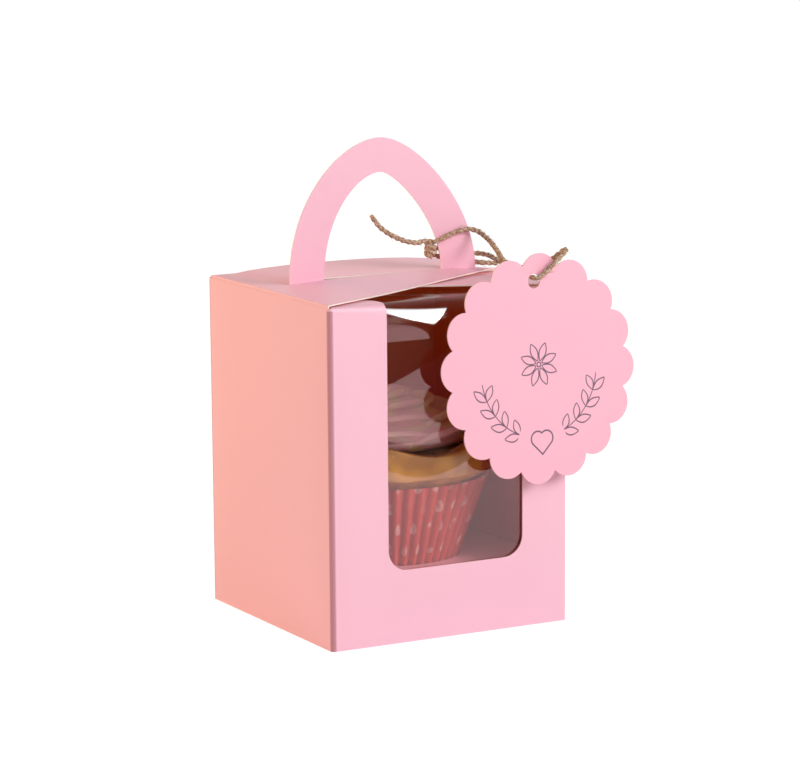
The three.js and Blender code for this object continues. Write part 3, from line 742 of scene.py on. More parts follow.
class Bench:
    """The hand tools that every piece is modelled with."""

    @staticmethod
    def hold(obj: bpy.types.Object) -> None:
        """Makes one object the only selected one, and the active one."""
        bpy.ops.object.select_all(action="DESELECT")
        obj.select_set(True)
        bpy.context.view_layer.objects.active = obj

    @staticmethod
    @contextmanager
    def editing(obj: bpy.types.Object, mode: str = "FACE") -> Iterator[bmesh.types.BMesh]:
        """Opens an object in edit mode with nothing selected.

        Args:
            obj: The mesh object.
            mode: What is selected: VERT, EDGE or FACE.

        Yields:
            The mesh under edit.
        """
        Bench.hold(obj)
        bpy.ops.object.mode_set(mode="EDIT")
        bpy.ops.mesh.select_mode(type=mode)
        bpy.ops.mesh.select_all(action="DESELECT")
        yield bmesh.from_edit_mesh(obj.data)
        bpy.ops.object.mode_set(mode="OBJECT")

    @staticmethod
    def pick(obj: bpy.types.Object, kind: str, test: Callable[[Vector], bool]) -> None:
        """Selects elements of the mesh under edit by their middle.

        Args:
            obj: The object in edit mode.
            kind: verts, edges or faces.
            test: Whether an element whose middle is given is selected.
        """
        mesh = bmesh.from_edit_mesh(obj.data)
        for element in getattr(mesh, kind):
            corners = [element] if kind == "verts" else element.verts
            middle = sum((v.co for v in corners), Vector()) / len(corners)
            element.select_set(test(middle))
        mesh.select_flush_mode()
        bmesh.update_edit_mesh(obj.data)

    @staticmethod
    def cut_out(name: str, *outlines: Sequence[Point]) -> bpy.types.Object:
        """Cuts a flat sheet, as a die cuts board.

        Args:
            name: The piece's name.
            outlines: Its outline, then the outlines of its holes.

        Returns:
            A mesh in the XY plane, facing up.
        """
        curve = bpy.data.curves.new(name, "CURVE")
        curve.dimensions = "2D"
        curve.fill_mode = "BOTH"
        for outline in outlines:
            spline = curve.splines.new("POLY")
            spline.points.add(len(outline) - 1)
            for point, (x, y) in zip(spline.points, outline):
                point.co = (x, y, 0, 1)
            spline.use_cyclic_u = True
        obj = bpy.data.objects.new(name, curve)
        bpy.context.collection.objects.link(obj)
        Bench.hold(obj)
        bpy.ops.object.convert(target="MESH")
        made = bpy.context.object
        with Bench.editing(made):
            bpy.ops.mesh.select_all(action="SELECT")
            bpy.ops.mesh.remove_doubles(threshold=0.001)
            if made.data.polygons and made.data.polygons[0].normal.z < 0:
                bpy.ops.mesh.flip_normals()
        return made

    @staticmethod
    def score(obj: bpy.types.Object, axis: int, places: Sequence[float]) -> None:
        """Cuts fold lines across a flat sheet.

        Args:
            obj: The sheet.
            axis: 0 for lines at an X, 1 for lines at a Y.
            places: Where they are.
        """
        normal = [0.0, 0.0, 0.0]
        normal[axis] = 1.0
        with Bench.editing(obj):
            for place in places:
                point = [0.0, 0.0, 0.0]
                point[axis] = place
                bpy.ops.mesh.select_all(action="SELECT")
                bpy.ops.mesh.bisect(plane_co=point, plane_no=normal)

    @staticmethod
    def grid(name: str, columns: int, rows: int, place: Place) -> bpy.types.Object:
        """Lays a sheet over a surface.

        Args:
            name: The piece's name.
            columns: Its faces across.
            rows: Its faces along.
            place: The point for u and v from 0 to 1.

        Returns:
            The sheet.
        """
        bpy.ops.object.select_all(action="DESELECT")
        bpy.ops.mesh.primitive_grid_add(x_subdivisions=columns, y_subdivisions=rows, size=2)
        obj = bpy.context.object
        obj.name = obj.data.name = name
        for vertex in obj.data.vertices:
            vertex.co = place((vertex.co.x + 1) / 2, (vertex.co.y + 1) / 2)
        return obj

    @staticmethod
    def turned(name: str, profile: Sequence[Point], steps: int) -> bpy.types.Object:
        """Turns a profile of radius and height about Z.

        Args:
            name: The piece's name.
            profile: Its points, from the axis and back to it.
            steps: How many faces it has round.

        Returns:
            A closed mesh, facing out.
        """
        curve = bpy.data.curves.new(name, "CURVE")
        curve.dimensions = "3D"
        spline = curve.splines.new("POLY")
        spline.points.add(len(profile) - 1)
        for point, (radius, height) in zip(spline.points, profile):
            point.co = (radius, 0, height, 1)
        obj = bpy.data.objects.new(name, curve)
        bpy.context.collection.objects.link(obj)
        Bench.hold(obj)
        bpy.ops.object.convert(target="MESH")
        made = bpy.context.object
        with Bench.editing(made, "VERT"):
            bpy.ops.mesh.select_all(action="SELECT")
            bpy.ops.mesh.spin(steps=steps, angle=2 * math.pi, center=(0, 0, 0), axis=(0, 0, 1))
            bpy.ops.mesh.select_all(action="SELECT")
            bpy.ops.mesh.remove_doubles(threshold=0.002)
            bpy.ops.mesh.normals_make_consistent(inside=False)
        return made

    @staticmethod
    def swept(
        name: str, route: Sequence[Vector], section: Sequence[Point], twist: float = 0.0, closed: bool = False
    ) -> bpy.types.Object:
        """Sweeps a section along a route.

        Args:
            name: The piece's name.
            route: The points that it follows, close together.
            section: The outline of its section.
            twist: How far the section turns for each millimetre, in radians.
            closed: Whether the route is a ring.

        Returns:
            The closed tube, facing out.
        """
        outline = bpy.data.curves.new(f"{name}_section", "CURVE")
        outline.dimensions = "2D"
        edge = outline.splines.new("POLY")
        edge.points.add(len(section) - 1)
        for point, (x, y) in zip(edge.points, section):
            point.co = (x, y, 0, 1)
        edge.use_cyclic_u = True
        shape = bpy.data.objects.new(f"{name}_section", outline)
        bpy.context.collection.objects.link(shape)
        curve = bpy.data.curves.new(name, "CURVE")
        curve.dimensions = "3D"
        curve.bevel_mode = "OBJECT"
        curve.bevel_object = shape
        curve.use_fill_caps = not closed
        line = curve.splines.new("POLY")
        line.points.add(len(route) - 1)
        run = 0.0
        for i, (point, place) in enumerate(zip(line.points, route)):
            run += (place - route[i - 1]).length if i else 0.0
            point.co = (*place, 1)
            point.tilt = twist * run
        line.use_cyclic_u = closed
        obj = bpy.data.objects.new(name, curve)
        bpy.context.collection.objects.link(obj)
        Bench.hold(obj)
        bpy.ops.object.convert(target="MESH")
        made = bpy.context.object
        bpy.data.objects.remove(shape)
        with Bench.editing(made):
            bpy.ops.mesh.select_all(action="SELECT")
            bpy.ops.mesh.remove_doubles(threshold=0.002)
            bpy.ops.mesh.normals_make_consistent(inside=False)
        return made

    @staticmethod
    def apply(obj: bpy.types.Object, kind: str, **settings: object) -> None:
        """Adds one modifier with its settings, and applies it."""
        Bench.hold(obj)
        modifier = obj.modifiers.new(kind.title(), kind)
        for name, value in settings.items():
            setattr(modifier, name, value)
        bpy.ops.object.modifier_apply(modifier=modifier.name)

    @staticmethod
    def dress(obj: bpy.types.Object, materials: Sequence[bpy.types.Material]) -> None:
        """Gives a piece its materials, in the order of their slots."""
        obj.data.materials.clear()
        for made in materials:
            obj.data.materials.append(made)

    @staticmethod
    def thicken(obj: bpy.types.Object, thickness: float, materials: Sequence[bpy.types.Material]) -> None:
        """Gives a sheet its thickness, below its face.

        Args:
            obj: The sheet.
            thickness: How thick it becomes, in millimetres.
            materials: The materials of its face, its inside and its cut edges.
        """
        Bench.dress(obj, materials)
        Bench.apply(
            obj,
            "SOLIDIFY",
            thickness=thickness,
            offset=-1,
            use_even_offset=False,
            material_offset=Side.INSIDE.value,
            material_offset_rim=Side.CUT.value,
        )

    @staticmethod
    def finish(obj: bpy.types.Object, body: Body, slot: Slot, angle: float = 35.0) -> bpy.types.Object:
        """Scales a piece from millimetres to metres and sets it on its body.

        Args:
            obj: The piece.
            body: The body that it rides on.
            slot: The record's material slot; not used.
            angle: Faces that meet at less than this are shaded smooth, in degrees.

        Returns:
            The piece.
        """
        Bench.hold(obj)
        bpy.ops.object.shade_smooth_by_angle(angle=math.radians(angle))
        obj.scale = (MM,) * 3
        bpy.ops.object.transform_apply(location=True, rotation=True, scale=True)
        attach(obj, body.value)
        LOG.info("%s: %d faces", obj.name, len(obj.data.polygons))
        return obj


@dataclass
class Carton:
    """The folded carton: its walls and front tabs, its bottom, its seam and the inner top flaps."""

    finishes: Finishes
    board: float = 0.45
    corner: float = 1.2
    window_width: float = 50.2
    window_shift: float = 1.9
    sill: float = 24.0
    window_corner: float = 7.0
    tab_depth: float = 10.4
    tab_drop: float = 0.5
    tab_corner: float = 5.0
    soft_fold: float = 3.4
    sharp_fold: float = 0.9
    wall_drop: float = 0.65
    bow: float = 0.35
    height: float = 112.0

    def __post_init__(self) -> None:
        """Reads the box's width and depth from the frame."""
        low, high = box_mm("carton")
        self.width = high.x - low.x
        self.depth = high.y - low.y
        self.left = self.window_shift - self.window_width / 2
        self.right = self.window_shift + self.window_width / 2
        self.straight = self.width / 2 - self.corner
        self.quarter = self.corner * math.pi / 2
        self.run = self.depth - 2 * self.corner

    def wrap(self, u: float) -> Point:
        """Bends the blank round the box.

        Args:
            u: The distance along the blank from the middle of the front panel.

        Returns:
            The point's X and Y on the box.
        """
        side = math.copysign(1.0, u)
        rest = abs(u) - self.straight
        if rest <= 0:
            return u, -self.depth / 2
        if rest <= self.quarter:
            turn = rest / self.corner
            x = self.straight + self.corner * math.sin(turn)
            return side * x, -self.depth / 2 + self.corner * (1 - math.cos(turn))
        rest -= self.quarter
        if rest <= self.run:
            return side * self.width / 2, -self.depth / 2 + self.corner + rest
        rest -= self.run
        if rest <= self.quarter:
            turn = rest / self.corner
            x = self.straight + self.corner * math.cos(turn)
            return side * x, self.depth / 2 - self.corner * (1 - math.sin(turn))
        return side * (self.straight - (rest - self.quarter)), self.depth / 2

    def _fold_radius(self, u: float) -> float:
        """Returns how softly a front strip folds back: sharp at the corner, soft by the window."""
        inner = self.left if u < 0 else self.right
        share = clamp((self.straight - abs(u)) / (self.straight - abs(inner)))
        return lerp(self.sharp_fold, self.soft_fold, share**1.3)

    def _swell(self, u: float, v: float) -> float:
        """Returns how far a panel bows out between its folds."""
        span = 2 * self.straight
        start = -self.straight
        while u < start:
            start -= span + self.quarter
        while u > start + span:
            start += span + self.quarter
        across = clamp((u - start) / span)
        share = math.sin(math.pi * across) * math.sin(math.pi * clamp(v / self.height))
        windowed = 0.25 if abs(u) < self.straight else 1.0
        return self.bow * share * windowed

    def place_wall(self, u: float, v: float) -> Vector:
        """Puts a point of the flat blank on the folded box.

        Args:
            u: Distance round the box from the middle of the front.
            v: Height on the flat blank.

        Returns:
            The point in space.
        """
        x, y = self.wrap(u)
        top = self.height - self.tab_drop
        radius = self._fold_radius(u)
        past = v - (top - radius)
        if abs(u) <= self.straight and past > 0:
            bend = min(past / radius, math.pi / 2)
            beyond = max(past - radius * math.pi / 2, 0)
            z = top - radius * (1 - math.sin(bend))
            return Vector((x, y + radius * (1 - math.cos(bend)) + beyond, z))
        swell = self._swell(u, v)
        nearest = max(abs(x) - self.width / 2, abs(y) - self.depth / 2)
        out = Vector((math.copysign(1, x), 0)) if abs(x) - self.width / 2 == nearest else None
        out = out or Vector((0, math.copysign(1, y)))
        return Vector((x + out.x * swell, y + out.y * swell, v))

    def blank(self) -> list[Point]:
        """Returns the outline of the flat blank: four walls, the window and the front tabs."""
        start = -(self.straight + 2 * self.quarter + self.run)
        end = self.straight + 2 * self.quarter + 2 * self.run
        corner = self.straight + self.quarter
        full = self.height - 0.3
        low = self.height - self.wall_drop
        tab = self.height - self.tab_drop + self.tab_depth - 1.1
        r, w = self.tab_corner, self.window_corner
        outline: list[Point] = [(start, 0), (end, 0), (end, full), (corner, full)]
        outline += [(corner, low), (self.straight, low), (self.straight - 1.2, tab)]
        outline += arc((self.right + r, tab - r), r, 90, 180)
        outline += arc((self.right - w, self.sill + w), w, 0, -90, 12)
        outline += arc((self.left + w, self.sill + w), w, -90, -180, 12)
        outline += arc((self.left - r, tab - r), r, 0, 90)
        outline += [(-self.straight + 1.2, tab), (-self.straight, low), (-corner, low), (start, low)]
        return outline

    def walls(self) -> bpy.types.Object:
        """Cuts, scores and folds the walls and the front tabs."""
        obj = Bench.cut_out("carton_walls", self.blank())
        corners = []
        for first in (self.straight, self.straight + self.quarter + self.run):
            corners += [side * (first + self.quarter * i / 5) for i in range(6) for side in (-1, 1)]
        panels = [side * self.straight * i / 4 for i in range(4) for side in (-1, 1)]
        beyond = self.straight + self.quarter
        panels += [side * (beyond + self.run * i / 6) for i in range(1, 6) for side in (-1, 1)]
        panels += [beyond + self.run + self.quarter + self.run * i / 6 for i in range(1, 6)]
        Bench.score(obj, 0, sorted(set(corners + panels)))
        fold = self.height - self.tab_drop - self.soft_fold
        Bench.score(obj, 1, [14.0 * i for i in range(1, 8)] + [fold + 0.4 * i for i in range(16)])
        for vertex in obj.data.vertices:
            vertex.co = self.place_wall(vertex.co.x, vertex.co.y)
        Bench.thicken(obj, self.board, self.finishes.board)
        return Bench.finish(obj, Body.CARTON, Slot.BOARD)

    def bottom(self) -> bpy.types.Object:
        """Lays the two interlocking bottom flaps and the side flaps on them."""
        x, y = self.width / 2 - self.board, self.depth / 2 - self.board
        split, tongue, half, slit, curve = 6.0, 15.0, 17.0, 0.6, 3.0
        wing_root, wing_tip, wing_reach = 34.5, 25.5, 33.0
        front = [(-x, -y), (x, -y), (x, split), (half, split)]
        front += arc((half - curve, tongue - curve), curve, 0, 90)
        front += arc((-half + curve, tongue - curve), curve, 90, 180)
        front += [(-half, split), (-x, split)]
        gap = split + slit
        back = [(-x, y), (-x, gap), (-half - slit, gap)]
        back += arc((-half + curve, tongue - curve), curve + slit, 180, 90)
        back += arc((half - curve, tongue - curve), curve + slit, 90, 0)
        back += [(half + slit, gap), (x, gap), (x, y)]
        tip = x - wing_reach
        wings = [
            [(s * x, -wing_root), (s * x, wing_root), (s * tip, wing_tip), (s * tip, -wing_tip)]
            for s in (-1, 1)
        ]
        parts = []
        layers = [(front, 0.0), (back, 0.0), (wings[0], self.board), (wings[1], self.board)]
        for i, (outline, level) in enumerate(layers):
            part = Bench.cut_out(f"bottom_flap_{i}", outline)
            for vertex in part.data.vertices:
                vertex.co.z = level + self.board
            Bench.thicken(part, self.board, self.finishes.board)
            parts.append(part)
        Bench.hold(parts[0])
        for part in parts:
            part.select_set(True)
        bpy.ops.object.join()
        obj = bpy.context.object
        obj.name = obj.data.name = "carton_bottom"
        return Bench.finish(obj, Body.CARTON, Slot.BOARD)

    def seam(self) -> bpy.types.Object:
        """Glues the seam strip inside the back wall."""
        left, inner = -self.width / 2 + self.board, self.depth / 2 - self.board
        strip = [(left, 2.0), (left + 13, 5.0), (left + 13, 106.0), (left, 109.0)]
        obj = Bench.cut_out("glue_seam", strip)
        for vertex in obj.data.vertices:
            vertex.co = (vertex.co.x, inner, vertex.co.y)
        Bench.thicken(obj, self.board, self.finishes.board)
        return Bench.finish(obj, Body.CARTON, Slot.BOARD)

    def rolled(self, distance: float, radius: float) -> Point:
        """Rolls a flap's edge over its fold.

        Args:
            distance: How far a point lies from the flap's outer edge, along the board.
            radius: The fold's radius.

        Returns:
            How far the point lies in from the wall's face, and below the flap's top.
        """
        length = radius * math.pi / 2
        if distance < 0:
            return 0.0, radius - distance
        if distance >= length:
            return radius + distance - length, 0.0
        turn = distance / radius
        return radius * (1 - math.cos(turn)), radius * (1 - math.sin(turn))

    def right_flap(self) -> bpy.types.Object:
        """Folds in the right top flap, the lowest of the three."""
        front, nose, tip = -self.depth / 2 + 8, 6.0, -self.width / 2 + 6

        def place(u: float, v: float) -> Vector:
            inward, drop = self.rolled((1 - u) ** 1.6 * (self.width - 5.4), 0.6)
            x = self.width / 2 - inward
            share = clamp((x - tip) / (self.width / 2 - tip))
            low = lerp(0.0, front, share)
            high = lerp(nose, self.depth / 2 - 2, share**0.7)
            sag = 0.25 * math.sin(math.pi * share) * (1 - v)
            return Vector((x, lerp(low, high, v), self.height - drop + sag))

        obj = Bench.grid("right_top_flap", 72, 14, place)
        Bench.thicken(obj, self.board, self.finishes.board)
        return Bench.finish(obj, Body.CARTON, Slot.BOARD)

    def back_flap(self) -> bpy.types.Object:
        """Bows the back top flap up behind the handle."""
        rise, lip_gap, tuck, reach = 2.5, 0.6, 8.5, 41.0
        left = -self.width / 2 + 21.3
        right = self.width / 2 - 22.6
        side = self.width / 2 - 0.9

        def place(u: float, v: float) -> Vector:
            x = lerp(-side, side, u)
            inward, drop = self.rolled((1 - v) * (self.depth / 2 - lip_gap + 0.3), 0.6)
            y = self.depth / 2 - inward
            risen = smoothstep(x, left - 13, left)
            fallen = smoothstep(x, right, right + 5)
            lip = lerp(self.height - 0.4, self.height + rise, risen) - fallen * 1.9
            under = clamp(1 - y / reach) * tuck - self.width / 2
            tucked = smoothstep(x, under + 0.5, under + 13)
            dome = self.height - 0.45 + tucked * (0.45 + rise * (1 - (abs(x) / (self.width / 2)) ** 2.5))
            z = lerp(lip, dome, smoothstep(y, lip_gap + 3, lip_gap + 16))
            down = smoothstep(y, self.depth / 2 - 8, self.depth / 2)
            return Vector((x, max(y, lip_gap), lerp(z, self.height, down * down) - drop))

        obj = Bench.grid("back_top_flap", 88, 44, place)
        Bench.thicken(obj, self.board, self.finishes.board)
        return Bench.finish(obj, Body.CARTON, Slot.BOARD)

    def build(self) -> None:
        """Makes every piece of the carton, in place of its plain solid."""
        for make in (self.walls, self.bottom, self.seam, self.right_flap, self.back_flap):
            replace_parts(make(), "carton")


@dataclass
class HandleFlap:
    """The outer top flap and the arched handle that stands up from it."""

    finishes: Finishes
    carton: Carton
    lift: float = 0.4
    front_rise: float = 1.1
    rear_rise: float = 2.3
    rise_length: float = 20.0
    tip_drop: float = 1.2
    tip_inset: float = 1.0
    shoulder: float = 41.0
    fold_radius: float = 0.55
    skirt: float = 0.45
    left_inset: float = 8.5
    right_inset: float = 9.4
    left_leg: float = 12.8
    right_leg: float = 13.2
    handle_height: float = 47.8
    band: float = 11.4
    apex: float = -1.6

    def __post_init__(self) -> None:
        """Works out where the flap and the legs start and end."""
        self.half = self.carton.width / 2
        self.tip = self.half - self.tip_inset
        self.left_foot = -self.half + self.left_inset
        self.right_foot = self.half - self.right_inset

    def front(self, x: float) -> float:
        """Returns the Y of the flap's slanting front edge."""
        start = -self.carton.depth / 2 + self.carton.board
        return lerp(start, 0, (x + self.half) / (self.tip + self.half))

    def top(self, x: float, y: float) -> float:
        """Returns the height of the flap's upper face."""
        start = self.carton.height + self.lift
        front = start + self.front_rise * smoothstep(x, -self.half / 2, self.tip)
        rise = self.rear_rise * (1 - math.exp(-(x + self.half) / self.rise_length))
        rear = start + rise - self.tip_drop * smoothstep(x, self.half * 0.45, self.tip)
        edge = min(self.front(x), -1)
        return lerp(front, rear, clamp((y - edge) / -edge))

    def sheet(self) -> bpy.types.Object:
        """Lays the flap from its rolled fold to its tip."""
        board = self.carton.board
        roll = self.fold_radius * math.pi / 2
        length = self.tip + self.half + roll - self.fold_radius - 0.5

        def place(u: float, v: float) -> Vector:
            distance = lerp(-self.skirt, length, u**1.5)
            inward, drop = self.carton.rolled(distance, self.fold_radius)
            x = -self.half + inward
            foot = clamp((self.left_foot - x) / (self.left_foot + self.half))
            y = lerp(self.front(x), board / 2 + foot * self.shoulder, v)
            return Vector((x, y, self.top(x, y) - drop))

        obj = Bench.grid("handle_flap_sheet", 110, 20, place)
        Bench.thicken(obj, board, self.finishes.board)
        return Bench.finish(obj, Body.FLAP, Slot.BOARD)

    def edge(self, left: float, right: float, top: float, curves: Sequence[Point]) -> list[Point]:
        """One edge of the handle, from its left foot over the apex to its right foot.

        Args:
            left: X of the left foot.
            right: X of the right foot.
            top: Height of the edge at the apex.
            curves: For each side, how straight it runs up the leg and along the crown.

        Returns:
            The edge's points.
        """
        base = self.carton.height + 1
        climb = top - base
        root = {x: self.top(x, 0) - 0.3 for x in (left, right)}
        (rise, out), (fall, back) = curves
        first = bezier(
            [(left, root[left] + 0.6), (self.apex, top)],
            [(left, base + climb * rise), (self.apex - (self.apex - left) * out, top)],
        )
        second = bezier(
            [(self.apex, top), (right, root[right] + 0.6)],
            [(self.apex + (right - self.apex) * back, top), (right, base + climb * fall)],
        )
        return [(left, root[left]), *first, *second[1:], (right, root[right])]

    def handle(self) -> bpy.types.Object:
        """Cuts the arched handle out of the board and stands it up."""
        crown = self.carton.height + self.handle_height
        outer = self.edge(self.left_foot, self.right_foot, crown, [(0.63, 0.41), (0.51, 0.36)])
        inner = self.edge(
            self.left_foot + self.left_leg,
            self.right_foot - self.right_leg,
            crown - self.band,
            [(0.65, 0.38), (0.51, 0.26)],
        )
        obj = Bench.cut_out("carry_handle", outer + inner[::-1])
        base = self.carton.height
        Bench.score(obj, 1, [base + 2.0 * i for i in range(1, 24)])
        for vertex in obj.data.vertices:
            x, z = vertex.co.x, vertex.co.y
            lean = 0.5 * smoothstep(z, base + 6, crown) * math.sin(x * 0.05)
            vertex.co = (x, -self.carton.board / 2 + lean, z)
        faces = [self.finishes.printed, self.finishes.printed, self.finishes.cut]
        Bench.thicken(obj, self.carton.board, faces)
        return Bench.finish(obj, Body.FLAP, Slot.BOARD)

    def build(self) -> None:
        """Makes the flap and the handle, in place of their plain solid."""
        for piece in (self.sheet(), self.handle()):
            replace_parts(piece, "handle_flap")


@dataclass
class Window:
    """The film behind the window, bent back under the top flaps."""

    finishes: Finishes
    bend: float = 7.5
    ripple: float = 0.12

    def build(self) -> None:
        """Bends the film to the shape of its solid."""
        low, high = box_mm("window_film")
        front, rear, crown = low.y + 0.1, high.y, high.z - 0.1
        straight = crown - self.bend - low.z
        quarter = self.bend * math.pi / 2
        flat = rear - front - self.bend
        total = straight + quarter + flat

        def place(u: float, v: float) -> Vector:
            x = lerp(low.x, high.x, u)
            run = v * total
            if run < straight:
                point, out = Vector((x, front, low.z + run)), Vector((0, -1, 0))
            elif run < straight + quarter:
                turn = (run - straight) / self.bend
                out = Vector((0, -math.cos(turn), math.sin(turn)))
                centre = Vector((x, front + self.bend, crown - self.bend))
                point = centre + out * self.bend
            else:
                point = Vector((x, front + self.bend + run - straight - quarter, crown))
                out = Vector((0, 0, 1))
            wave = noise.noise(Vector((x * 0.045, run * 0.05, 3.0)))
            return point - out * self.ripple * (0.6 + wave)

        obj = Bench.grid("film_sheet", 48, 96, place)
        Bench.thicken(obj, 0.08, [self.finishes.film] * 3)
        piece = Bench.finish(obj, Body.CARTON, Slot.FILM, 60)
        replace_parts(piece, "window_film")


@dataclass
class Cupcake:
    """The cake in its pleated case, with its frosting and caramel."""

    finishes: Finishes
    pleats: int = 48
    pleat_depth: float = 1.3
    paper: float = 0.16
    pleat_samples: int = 6
    swirl_waves: int = 5
    swirl_folds: int = 7
    swirl_turn: float = -2.234
    swirl_ridge: float = 1.1
    petals: tuple[tuple[int, float, float, float, float], ...] = (
        (7, 23.5, 59.0, 8.6, 6.0),
        (6, 17.0, 63.2, 8.4, 5.2),
        (5, 10.0, 67.6, 7.2, 4.2),
        (3, 4.0, 71.2, 5.4, 2.2),
    )

    def case(self) -> None:
        """Pleats the paper case: a round base drawn up in rings."""
        low, high = box_mm("paper_case")
        rim, base, rings = high.x, 22.2, 9
        bpy.ops.object.select_all(action="DESELECT")
        count = self.pleats * self.pleat_samples
        foot = (0, 0, low.z)
        bpy.ops.mesh.primitive_circle_add(vertices=count, radius=base, location=foot, fill_type="NGON")
        obj = bpy.context.object
        obj.name = obj.data.name = "pleated_case"
        bpy.ops.object.transform_apply(location=True, rotation=False, scale=False)
        with Bench.editing(obj, "EDGE"):
            Bench.pick(obj, "edges", lambda middle: True)
            for ring in range(rings):
                rise = (high.z - low.z) / rings
                bpy.ops.mesh.extrude_edges_move(TRANSFORM_OT_translate={"value": (0, 0, rise)})
        for vertex in obj.data.vertices:
            t = (vertex.co.z - low.z) / (high.z - low.z)
            angle = math.atan2(vertex.co.y, vertex.co.x)
            wave = 0.5 + 0.5 * math.cos(self.pleats * angle)
            wave = wave**0.8
            depth = self.pleat_depth * smoothstep(t, 0.0, 0.12) + 0.25 * t
            wobble = 0.35 * t * noise.noise(Vector((math.cos(angle) * 2, math.sin(angle) * 2, t)))
            radius = lerp(base, rim, t) - depth * (1 - wave) + wobble
            vertex.co.x, vertex.co.y = radius * math.cos(angle), radius * math.sin(angle)
            if t > 0.95:
                vertex.co.z -= 0.35 * (1 - wave)
        with Bench.editing(obj):
            bpy.ops.mesh.select_all(action="SELECT")
            bpy.ops.mesh.normals_make_consistent(inside=False)
        Bench.thicken(obj, self.paper, [self.finishes.paper] * 3)
        piece = Bench.finish(obj, Body.CARTON, Slot.PAPER, 50)
        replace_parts(piece, "paper_case")

    def cake(self) -> None:
        """Turns the cake and roughens its crown."""
        low, high = box_mm("cake")
        case_high = box_mm("paper_case")[1]
        rim = case_high.z + 0.4
        inside = case_high.x - self.pleat_depth - 0.9
        bulge = high.x - 0.4
        profile = [(0.0, low.z + 0.2), (22.2 - 2.2, low.z + 0.2), (inside, rim - 0.3)]
        profile += [(inside + 0.6, rim), (bulge - 0.6, rim + 1.2), (bulge, rim + 3.4)]
        profile += [(bulge - 0.5, rim + 6), (bulge - 2.4, high.z - 3.6), (28, high.z - 2.4)]
        profile += [(20, high.z - 1.2), (10, high.z - 0.6), (0.0, high.z - 0.4)]
        obj = Bench.turned("cake_body", profile, 96)
        Bench.apply(obj, "SUBSURF", levels=2, render_levels=2)
        for vertex in obj.data.vertices:
            if vertex.co.z > rim - 1:
                rough = noise.fractal(vertex.co * 0.35, 0.8, 2.1, 4)
                outward = Vector((vertex.co.x, vertex.co.y, 0)).normalized()
                vertex.co += outward * min(rough * 0.3, 0.3)
        Bench.dress(obj, [self.finishes.crumb])
        piece = Bench.finish(obj, Body.CARTON, Slot.CRUMB, 80)
        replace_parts(piece, "cake")

    def petal(self, name: str, tier: tuple[int, float, float, float, float], turn: float) -> bpy.types.Object:
        """Pipes one petal: wide at its foot, with its lip curled out.

        Args:
            name: Its name.
            tier: The tier's count, foot radius, foot height, petal height and flare.
            turn: Its direction, in radians.

        Returns:
            The petal.
        """
        count, radius, foot, tall, flare = tier
        half = math.pi / count * 1.32

        def place(u: float, v: float) -> Vector:
            s = 2 * u - 1
            narrow = 1 - 0.28 * v * v
            angle = turn + s * half * narrow + 0.22 * v
            lip = 1 - 0.42 * s * s
            out = radius + flare * math.sin(v * 1.9) * (0.7 + 0.3 * lip) - 2.4 * (1 - abs(s)) * v * (1 - v)
            curl = 1.4 * smoothstep(v, 0.7, 1.0)
            z = foot + tall * v * (0.62 + 0.38 * lip) - curl * 1.1
            out += curl - 1.6 * s
            return Vector((out * math.cos(angle), out * math.sin(angle), z))

        obj = Bench.grid(name, 12, 9, place)
        Bench.apply(obj, "SOLIDIFY", thickness=2.1, offset=0)
        Bench.apply(obj, "SUBSURF", levels=2, render_levels=2)
        return obj

    def frosting(self) -> None:
        """Pipes the frosting: a mound, and tiers of petals round it."""
        low, high = box_mm("frosting")
        mound = [(0.0, low.z + 2.4), (22, low.z + 1.0), (27.6, low.z + 0.8), (28.6, low.z + 3.5)]
        mound += [(25, low.z + 7), (17, low.z + 11.5), (8, low.z + 15), (0.0, high.z - 2.6)]
        base = Bench.turned("frosting_mound", mound, 64)
        Bench.apply(base, "SUBSURF", levels=2, render_levels=2)
        Bench.dress(base, [self.finishes.cream])
        pieces = [Bench.finish(base, Body.CARTON, Slot.CREAM, 80)]
        for level, tier in enumerate(self.petals):
            petals = []
            for i in range(tier[0]):
                turn = 2 * math.pi * (i + 0.5 * level) / tier[0] - 0.35
                petals.append(self.petal(f"petal_{level}_{i}", tier, turn))
            Bench.hold(petals[0])
            for petal in petals:
                petal.select_set(True)
            bpy.ops.object.join()
            joined = bpy.context.object
            joined.name = joined.data.name = f"frosting_petals_{level + 1}"
            Bench.dress(joined, [self.finishes.cream])
            pieces.append(Bench.finish(joined, Body.CARTON, Slot.CREAM, 80))
        for piece in pieces:
            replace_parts(piece, "frosting")

    def caramel(self) -> None:
        """Pipes the caramel swirl: a frilled band round the crown, its lip in waves."""
        cake_top = box_mm("cake")[1]
        foot, lip, out = cake_top.z - 9.6, box_mm("caramel_trim")[1].z + 1.6, cake_top.x
        fold = self.swirl_folds / (2 * math.pi)

        def place(u: float, v: float) -> Vector:
            angle = 2 * math.pi * u
            wave = math.cos(self.swirl_waves * (angle - self.swirl_turn))
            leaf = (angle * fold + 0.55 * v) % 1.0
            ridge = self.swirl_ridge * smoothstep(leaf, 0.0, 0.85) * (1 - smoothstep(leaf, 0.85, 1.0))
            rise = math.sin(min(v * 1.35, 1.0) * math.pi / 2)
            radius = out + 0.3 + 1.0 * math.sin(math.pi * v) - 4.4 * smoothstep(v, 0.62, 1.0) + ridge
            z = foot + (lip + 2.0 * wave - foot) * rise - 1.4 * smoothstep(v, 0.8, 1.0)
            return Vector((radius * math.cos(angle), radius * math.sin(angle), z))

